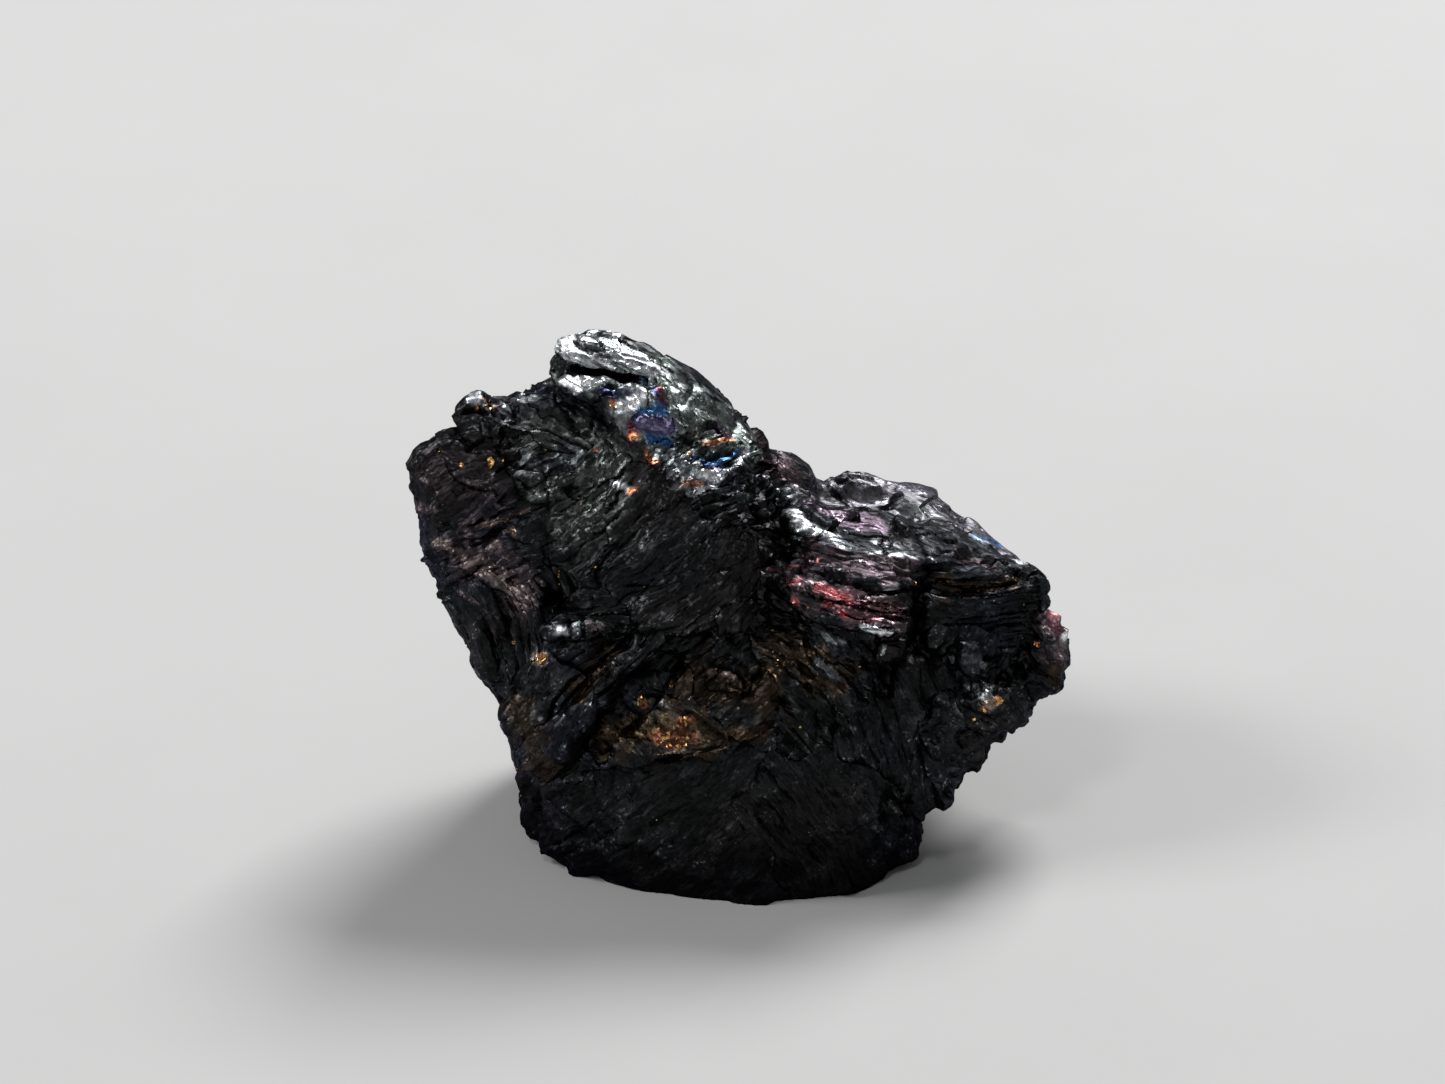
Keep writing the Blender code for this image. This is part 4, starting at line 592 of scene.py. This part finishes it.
def new_object(name, data):
    """An object that is linked to the scene."""
    made = bpy.data.objects.new(name, data)
    bpy.context.scene.collection.objects.link(made)
    return made


def packed_skin():
    """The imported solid's mesh, in millimetres."""
    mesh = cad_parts[NODE].data.copy()
    mesh.transform(Matrix.Scale(1.0 / MM, 4))
    return mesh


class Skin:
    """A mesh in millimetres that can be asked what lies at a place."""

    def __init__(self, mesh):
        self.points = vectors_of(mesh.vertices, "co")
        self.normals = vectors_of(mesh.vertices, "normal")
        self.tree = BVHTree.FromPolygons(self.points, [tuple(p.vertices) for p in mesh.polygons])

    def seen_at(self, across, up):
        """The point and the normal at a place of the view, or those nearest to it beside the lump."""
        through = VIEW_AIM + Vector((across, 0.0, 0.0)) + up * VIEW_UP
        sight = (through - EYE).normalized()
        point, normal, _, _ = self.tree.ray_cast(EYE, sight)
        if point is None:
            offset = self.points - EYE
            beside = offset - np.outer(offset @ sight, sight)
            index = (beside**2).sum(axis=1).argmin()
            point, normal = self.points[index], self.normals[index]
        return np.array(point), np.array(normal)

    def at(self, place):
        """The point and the normal at a place of the view, or nearest to a place in the frame's axes."""
        if len(place) == 2:
            return self.seen_at(*place)
        point, normal, _, _ = self.tree.find_nearest(place)
        return np.array(point), np.array(normal)


def line_on(skin, places):
    """Points of the skin along a smooth line through one or more places, in order."""
    steps = [places[0]]
    ends = [places[0], *places, places[-1]]
    for before, start, end, after in zip(ends, ends[1:], ends[2:], ends[3:]):
        count = max(2, int(math.dist(start, end) / CUT_SPACING))
        for t in (k / count for k in range(1, count + 1)):
            steps.append(tuple(spline(*axis, t) for axis in zip(before, start, end, after)))
    return np.array([skin.at(step)[0] for step in steps])


def spline(before, start, end, after, t):
    """A value on the smooth curve from start to end that also heeds the values before and after."""
    return 0.5 * (
        2.0 * start
        + (end - before) * t
        + (2.0 * before - 5.0 * start + 4.0 * end - after) * t * t
        + (3.0 * start - before - 3.0 * end + after) * t**3
    )


def gap_to(points, line, reach):
    """How far each point is from a line of points, as an array of indexes and one of distances."""
    near = ((points > line.min(axis=0) - reach) & (points < line.max(axis=0) + reach)).all(axis=1)
    index = np.flatnonzero(near)
    gap = np.full(len(index), np.inf)
    for spot in line:
        gap = np.minimum(gap, ((points[index] - spot) ** 2).sum(axis=1))
    return index, np.sqrt(gap)


def fine_skin(mesh):
    """The skin with even, fine faces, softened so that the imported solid's facets don't show."""
    return modified(modified(mesh, "REMESH", mode="VOXEL", voxel_size=FINE), "SMOOTH", **SOFTENING)


def thinned(mesh):
    """The mesh with fewer faces where it is flat."""
    mesh.calc_loop_triangles()
    return modified(mesh, "DECIMATE", ratio=min(1.0, TRIANGLES / len(mesh.loop_triangles)))


def modified(mesh, kind, **settings):
    """The mesh that a modifier makes of another."""
    carrier = new_object("carrier", mesh)
    modifier = carrier.modifiers.new("modifier", kind)
    for name, value in settings.items():
        setattr(modifier, name, value)
    graph = bpy.context.evaluated_depsgraph_get()
    made = bpy.data.meshes.new_from_object(carrier.evaluated_get(graph))
    bpy.data.objects.remove(carrier)
    return made


class Sheets:
    """The sets of sheets as arrays, one row each."""

    def __init__(self, skin):
        places, rows = [], []
        for place, *rest in SHEETS.values():
            places.append(skin.seen_at(*place)[0])
            rows.append((*rest, TO_CAMERA))
        for place, *rest in SHEETS_BEHIND.values():
            places.append(place)
            rows.append((*rest, Vector(place) - MIDDLE))
        self.centre = np.array(places)
        self.across = np.array([unit(row[0]) for row in rows])
        self.bend, self.thickness, self.edge, self.slit, self.chip, self.height = (
            np.array([row[k] for row in rows]) for k in range(1, 7)
        )
        self.along = np.array([unit(np.cross(a, row[-1])) for a, row in zip(self.across, rows)])
        self.side = np.cross(self.across, self.along)

    def ruling(self, points):
        """Which set of sheets rules at each point."""
        strayed = points + BORDER_WANDER * np.stack(
            [layered_noise(points / 2.0, SEED + 10 * k, layers=2) for k in range(3)], axis=1
        )
        gaps = np.stack([((strayed - centre) ** 2).sum(axis=1) for centre in self.centre], axis=1)
        return gaps.argmin(axis=1)

    def place_in(self, points, rule):
        """Each point's height across its sheets, and its place along and beside them."""
        offset = points - self.centre[rule]
        along = (offset * self.along[rule]).sum(axis=1)
        side = (offset * self.side[rule]).sum(axis=1)
        height = (offset * self.across[rule]).sum(axis=1) + self.bend[rule] * along**2
        height += SHEET_WARP * layered_noise(points / 1.5, SEED + 40)
        return height, along, side

    def carving(self, points):
        """How far the broken sheets, slits and chips stand out or back at each point."""
        rule = self.ruling(points)
        height, along, side = self.place_in(points, rule)
        level = height / self.thickness[rule]
        whole = np.floor(level)
        part = level - whole
        number = NEXT_SHEET * whole + NEXT_SET * rule
        patch = np.stack([along / SHEET_PATCH, side / SHEET_PATCH, number], axis=1)
        turn = smooth_step((part - 1.0 + EDGE_SHARE) / EDGE_SHARE)
        above = layered_noise(patch + (0.0, 0.0, NEXT_SHEET), SEED + 50, layers=2)
        own = layered_noise(patch, SEED + 50, layers=2)
        out = EDGE_GAIN * self.edge[rule] * (own + turn * (above - own))
        slit = smooth_step(1.0 - np.minimum(part, 1.0 - part) / SLIT_SHARE)
        patch = patch * (0.8, 0.8, 1.0) + (0.5, 0.5, 0.0)
        out -= self.slit[rule] * slit * smooth_step(0.35 + 1.6 * smooth_noise(patch, SEED + 60))
        for layer, (_, share) in enumerate(CHIPS):
            out += share * self.height[rule] * self.chips(points, rule, layer)[0]
        return out

    def chips(self, points, rule, layer):
        """The facets of one layer of chips: the height and the number of each, as facets() gives them."""
        height, along, side = self.place_in(points, rule)
        size = np.maximum(CHIPS[layer][0] * self.chip[rule], LEAST_CHIP)
        spot = np.stack([along / (CHIP_STRETCH * size), side / size, height / size], axis=1)
        return facets(spot + NEXT_SET_CHIPS * rule[:, None], SEED + 70 + 10 * layer)


def cut_into(points, skin):
    """How far the cuts and ridges seen from the front press each point in."""
    pressed = np.zeros(len(points))
    wobble = 1.0 + 0.45 * layered_noise(points / 0.5, SEED + 100)
    for half_width, depth, *places in CUTS.values():
        index, gap = gap_to(points, line_on(skin, places), 2.0 * half_width)
        share = np.clip(1.0 - gap / (half_width * wobble[index]), 0.0, 1.0)
        pressed[index] += depth * share**0.8
    return pressed


def carved_skin(skin, sheets, mesh):
    """The fine skin with all its relief pressed in, flat below."""
    points = vectors_of(mesh.vertices, "co")
    normals = vectors_of(mesh.vertices, "normal")
    moved = sheets.carving(points) - cut_into(points, skin)
    to_side = np.c_[(points - BOX_LOW)[:, :2], (BOX_HIGH - points)[:, :2]].min(axis=1)
    moved -= INSET * smooth_step(1.0 - to_side / INSET_FROM)
    moved *= smooth_step(points[:, 2] / REST_HEIGHT)
    set_values(mesh, "uncarved", "FLOAT_VECTOR", "POINT", points, "vector")
    mesh.vertices.foreach_set("co", (points + normals * moved[:, None]).ravel())
    mesh.update()
    made = thinned(mesh)
    drop_crumbs(made)
    keep_inside(made)
    return made


def drop_crumbs(mesh):
    """Takes away the crumbs of mesh that don't hang together with the highest point."""
    bm = bmesh.new()
    bm.from_mesh(mesh)
    joined = set()
    waiting = [max(bm.verts, key=lambda vert: vert.co.z)]
    while waiting:
        vert = waiting.pop()
        if vert not in joined:
            joined.add(vert)
            waiting.extend(edge.other_vert(vert) for edge in vert.link_edges)
    bmesh.ops.delete(bm, geom=[vert for vert in bm.verts if vert not in joined], context="VERTS")
    bm.to_mesh(mesh)
    bm.free()


def keep_inside(mesh):
    """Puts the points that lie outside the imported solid's box on its nearest side."""
    points = np.clip(vectors_of(mesh.vertices, "co"), BOX_LOW, BOX_HIGH)
    mesh.vertices.foreach_set("co", points.ravel())
    mesh.update()


def painted(mesh, skin, sheets):
    """Writes to the mesh what its material reads: colour, polish, and the place among the sheets."""
    points = vectors_of(mesh.attributes["uncarved"].data, "vector")
    mesh.attributes.remove(mesh.attributes["uncarved"])
    rule = sheets.ruling(points)
    flat = np.abs((vectors_of(mesh.vertices, "normal") * sheets.across[rule]).sum(axis=1))
    colour, polish = tarnish(points, flat, skin)
    chip, splinter = (sheets.chips(points, rule, layer)[1] for layer in (1, 2))
    # Painted glints: some chips are painted brighter, and are more polished too; faces along the sheets are
    # a little lighter.
    clean_and_glinting = smooth_step((0.6 * chip + 0.4 * splinter - CLEAN_FROM) / (1.0 - CLEAN_FROM))
    colour *= (0.75 + 0.25 * flat + GLINT * clean_and_glinting)[:, None]
    polish += 0.4 * clean_and_glinting * (1.0 - polish) + 0.2 * (splinter - 0.5)
    lined = np.clip(sheets.slit[rule] / LINED_SLIT, 0.0, 1.0)
    opaque = np.c_[np.clip(colour, 0.0, 1.0), np.ones(len(colour))]
    set_values(mesh, "tint", "FLOAT_COLOR", "POINT", opaque, "color")
    set_values(mesh, "polish", "FLOAT", "POINT", np.clip(polish, 0.0, 1.0), "value")
    set_values(mesh, "lined", "FLOAT", "POINT", lined, "value")

    corners = indexes_of(mesh.loops, "vertex_index")
    corner_counts = indexes_of(mesh.polygons, "loop_total")
    firsts = corners[np.cumsum(corner_counts) - corner_counts]
    face_rule = np.repeat(rule[firsts], corner_counts)
    grain = np.stack(sheets.place_in(points[corners], face_rule), axis=1)
    grain += NEXT_SET_LINES * face_rule[:, None]
    set_values(mesh, "grain", "FLOAT_VECTOR", "CORNER", grain, "vector")


def tarnish(points, flat, skin):
    """The colour and the polish at each point, with painted highlights and shade, before single chips are
    made lighter or duller.
    """
    colour = np.empty((len(points), 3))
    colour[:] = CHARCOAL
    low = smooth_step(1.0 - points[:, 2] / FOOT_TOP)
    polish = PLAIN_POLISH - 0.15 * low
    broad = layered_noise(points / 3.0, SEED + 110)[:, None]
    colour += smooth_step(broad) * (np.array(INDIGO) - CHARCOAL) * 0.2
    colour += smooth_step(-broad) * (np.array(BROWN_PURPLE) - CHARCOAL) * 0.5
    # Painted shade: darker towards the underside, down to black.
    colour += FOOT_SHADE * low[:, None] * (np.array(PAINTED_SHADE) - colour)
    ragged = 1.0 + 0.55 * layered_noise(points / 0.45, SEED + 120) + 0.25 * (flat - 0.5)
    for reach, tint, share, shine, *places in TINTS.values():
        index, gap = gap_to(points, line_on(skin, places), 1.6 * reach)
        weight = share * smooth_step(1.5 * (ragged[index] - gap / reach))
        colour[index] += weight[:, None] * (np.array(tint) - colour[index])
        polish[index] += weight * (shine - polish[index])
    return colour, polish


def indexes_of(items, name):
    values = np.empty(len(items), np.int32)
    items.foreach_get(name, values)
    return values


def set_values(mesh, name, kind, domain, values, field):
    attribute = mesh.attributes.new(name, kind, domain)
    attribute.data.foreach_set(field, np.ascontiguousarray(values, np.float32).ravel())


class Tree:
    """A material's nodes, each made by one call that also links its inputs."""

    def __init__(self, name):
        self.material = bpy.data.materials.new(name)
        self.material.use_nodes = True
        self.nodes = self.material.node_tree.nodes

    def feed(self, socket, value):
        if isinstance(value, bpy.types.NodeSocket):
            self.material.node_tree.links.new(value, socket)
        else:
            socket.default_value = value

    def add(self, kind, inputs=(), **settings):
        node = self.nodes.new("ShaderNode" + kind)
        for name, value in settings.items():
            setattr(node, name, value)
        for key, value in dict(inputs).items():
            self.feed(node.inputs[key], value)
        return node

    def number(self, operation, *inputs):
        return self.add("Math", enumerate(inputs), operation=operation).outputs[0]

    def vector(self, operation, *inputs):
        return self.add("VectorMath", enumerate(inputs), operation=operation).outputs[0]

    def place(self):
        """The place on the lump, in millimetres."""
        return self.vector("MULTIPLY", self.add("TexCoord").outputs["Object"], (1.0 / MM,) * 3)

    def noise(self, vector, scale, detail=3.0, roughness=0.55):
        made = self.add(
            "TexNoise", {"Vector": vector, "Scale": scale, "Detail": detail, "Roughness": roughness}
        )
        return made.outputs["Fac"]

    def ranged(self, value, low, high, to_low, to_high):
        made = self.add(
            "MapRange", {0: value, 1: low, 2: high, 3: to_low, 4: to_high}, interpolation_type="SMOOTHSTEP"
        )
        return made.outputs[0]

    def ramp(self, value, *stops):
        """The colour for a value, blended from two stops of a position and a colour."""
        made = self.add("ValToRGB", {"Fac": value})
        for element, (position, colour) in zip(made.color_ramp.elements, stops):
            element.position = position
            element.color = (*colour, 1.0)
        return made.outputs["Color"]

    def shaded(self, inputs):
        """The material, with these inputs of its shader set or linked."""
        for key, value in inputs.items():
            self.feed(self.nodes["Principled BSDF"].inputs[key], value)
        return self.material


def ore_material():
    """Metallic ore in thin sheets: fine lines along the sheets, small scales that glint, and painted glints
    on tiny specks.
    """
    tree = Tree("covellite_sheets")
    tint, polish, lined, grain = (
        tree.add("Attribute", attribute_name=name).outputs[output]
        for name, output in (("tint", "Color"), ("polish", "Fac"), ("lined", "Fac"), ("grain", "Vector"))
    )
    place = tree.place()

    lines = tree.noise(tree.vector("MULTIPLY", grain, LINES_PER_MM), 1.0, detail=4.0, roughness=0.65)
    lines = tree.number("MULTIPLY", tree.number("SUBTRACT", lines, 0.5), lined)
    grit = tree.noise(place, GRIT_PER_MM, detail=4.0, roughness=0.7)
    scale_place = tree.vector("MULTIPLY", grain, SCALES_PER_MM)
    scale_way = tree.add("TexVoronoi", {"Vector": scale_place, "Scale": 1.0}).outputs["Color"]
    scale_random = tree.add("SeparateColor", {"Color": scale_way}).outputs[0]

    light = tree.ranged(lines, -0.25, 0.25, 0.4, 1.6)
    light = tree.number("MULTIPLY", light, tree.ranged(scale_random, 0.0, 1.0, 0.75, 1.25))
    light = tree.number("MULTIPLY", light, tree.ranged(grit, 0.3, 0.7, 0.6, 1.4))
    # Painted glints: the tiny specks make the colour brighter.
    light = tree.number("MULTIPLY", light, speck_light(tree, place, polish))

    dull = tree.number("SUBTRACT", 0.60, tree.number("MULTIPLY", polish, 0.48))
    uneven = tree.ranged(grit, 0.3, 0.7, -0.08, 0.14)

    height = tree.number("ADD", lines, tree.number("MULTIPLY", grit, 0.35))
    bump = tree.add("Bump", {"Strength": 0.5, "Distance": LINE_DEPTH * MM, "Height": height})
    amount = tree.ranged(polish, 0.35, 0.8, SCALE_LEAN, 0.2 * SCALE_LEAN)
    lean = tree.vector("MULTIPLY", tree.vector("SUBTRACT", scale_way, (0.5,) * 3), amount)
    leaning = tree.vector("ADD", bump.outputs["Normal"], lean)
    inputs = {
        "Base Color": tree.vector("MULTIPLY", tint, light),
        "Metallic": 1.0,
        "Specular Tint": (0.5, 0.5, 0.55, 1.0),
        "Roughness": tree.number("ADD", dull, uneven),
        "Normal": tree.vector("NORMALIZE", leaning),
    }
    return tree.shaded(inputs)


def speck_light(tree, place, polish):
    """Painted glints: how much brighter the tiny specks are painted. They come in swarms, where the ore
    isn't dull.
    """
    specks = tree.add("TexVoronoi", {"Vector": place, "Scale": SPECKS_PER_MM})
    speck = tree.add("SeparateColor", {"Color": specks.outputs["Color"]}).outputs[0]
    speck = tree.ranged(speck, SPECKS_FROM, 1.0, 0.0, SPECK_LIGHT)
    swarm = tree.ranged(tree.noise(place, SWARMS_PER_MM, detail=2.0), 0.42, 0.62, 0.0, 1.0)
    swarm = tree.number("MULTIPLY", swarm, tree.ranged(polish, 0.3, 0.5, 0.0, 1.0))
    return tree.number("ADD", tree.number("MULTIPLY", speck, swarm), 1.0)


def golden_material():
    """Brassy ore with a warm, uneven tarnish."""
    tree = Tree("golden_ore")
    place = tree.place()
    grit = tree.noise(place, 14.0)
    bump = tree.add("Bump", {"Strength": 0.4, "Distance": 0.02 * MM, "Height": grit})
    inputs = {
        "Base Color": tree.ramp(tree.noise(place, 3.0), (0.35, COPPERY), (0.62, BRASSY)),
        "Metallic": 1.0,
        "Roughness": tree.ranged(grit, 0.3, 0.7, 0.22, 0.5),
        "Normal": bump.outputs["Normal"],
    }
    return tree.shaded(inputs)


def floor_material():
    """A plain pale surface with a very faint mottle."""
    tree = Tree("pale_floor")
    mottle = tree.noise(tree.add("TexCoord").outputs["Object"], 60.0, detail=5.0)
    return tree.shaded({"Base Color": tree.ramp(mottle, *enumerate(FLOOR_GREYS)), "Roughness": 0.85})


def as_piece(name, mesh, material):
    """An object of the lump, in metres, that rides on it."""
    mesh.transform(Matrix.Scale(MM, 4))
    mesh.materials.clear()
    mesh.materials.append(material)
    piece = new_object(name, mesh)
    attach(piece, "root")
    return piece


def make_ore():
    solid = packed_skin()
    skin = Skin(solid)
    sheets = Sheets(skin)
    mesh = carved_skin(skin, sheets, fine_skin(solid))
    painted(mesh, skin, sheets)
    mesh.polygons.foreach_set("use_smooth", np.ones(len(mesh.polygons), bool))
    mesh.set_sharp_from_angle(angle=SHARP_FROM)
    ore = as_piece("foliated_ore", mesh, ore_material())
    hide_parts(NODE)
    return ore


def add_grain(bm, rng, point, normal, size):
    """One angular grain, sunk a little less than half its height in the skin."""
    corners = rng.normal(size=(9, 3))
    corners /= np.linalg.norm(corners, axis=1)[:, None]
    corners *= size * rng.uniform(0.75, 1.1, size=(9, 1))
    middle = point + 0.1 * size * normal
    verts = [bm.verts.new(middle + corner) for corner in corners]
    hull = bmesh.ops.convex_hull(bm, input=verts)
    spare = {v for v in hull["geom_interior"] + hull["geom_unused"] if isinstance(v, bmesh.types.BMVert)}
    bmesh.ops.delete(bm, geom=list(spare), context="VERTS")


def make_grains(ore):
    """The golden grains, set into the carved skin."""
    rng = np.random.default_rng(SEED)
    mesh = ore.data.copy()
    mesh.transform(Matrix.Scale(1.0 / MM, 4))
    skin = Skin(mesh)
    bm = bmesh.new()
    for place, reach, count, size in GRAINS.values():
        for _ in range(count):
            spot = [value + reach * rng.uniform(-0.8, 0.8) for value in place]
            add_grain(bm, rng, *skin.at(spot), size * rng.uniform(0.5, 1.1))
    for index in rng.choice(len(skin.points), STRAY_GRAINS, replace=False):
        if skin.points[index][2] > 1.0:
            add_grain(bm, rng, skin.points[index], skin.normals[index], STRAY_SIZE * rng.uniform(0.5, 1.2))
    bmesh.ops.recalc_face_normals(bm, faces=bm.faces)
    grains = bpy.data.meshes.new("golden_grains")
    bm.to_mesh(grains)
    bm.free()
    bpy.data.meshes.remove(mesh)
    keep_inside(grains)
    return as_piece("golden_grains", grains, golden_material())


def make_floor():
    mesh = bpy.data.meshes.new("floor")
    corners = [(FLOOR_REACH * x, FLOOR_REACH * y, 0.0) for x, y in ((-1, -1), (1, -1), (1, 1), (-1, 1))]
    mesh.from_pydata(corners, [], [(0, 1, 2, 3)])
    mesh.materials.append(floor_material())
    floor = new_object("floor", mesh)


def softbox(name, towards, distance, size, power):
    """A square light that faces the lump."""
    light = bpy.data.lights.new(name, "AREA")
    light.size = size
    light.energy = power
    lamp = new_object(name, light)
    lamp.location = MM * VIEW_AIM + distance * Vector(towards).normalized()
    lamp.rotation_euler = (-Vector(towards)).to_track_quat("-Z", "Y").to_euler()


def make_studio():
    for name, light in LIGHTS.items():
        softbox(name, *light)
    world = bpy.data.worlds.new("studio")
    world.use_nodes = True
    world.node_tree.nodes["Background"].inputs["Color"].default_value = SURROUNDINGS
    bpy.context.scene.world = world
    bpy.context.scene.view_settings.view_transform = "Standard"


def make_camera():
    camera = new_object("camera", bpy.data.cameras.new("camera"))
    camera.data.sensor_width = SENSOR
    camera.data.lens = SENSOR * VIEW_DISTANCE / VIEW_WIDTH
    camera.data.clip_start = 0.01
    camera.location = MM * EYE
    camera.rotation_euler = (-TO_CAMERA).to_track_quat("-Z", "Y").to_euler()
    bpy.context.scene.camera = camera


make_camera()
make_grains(make_ore())
make_floor()
make_studio()
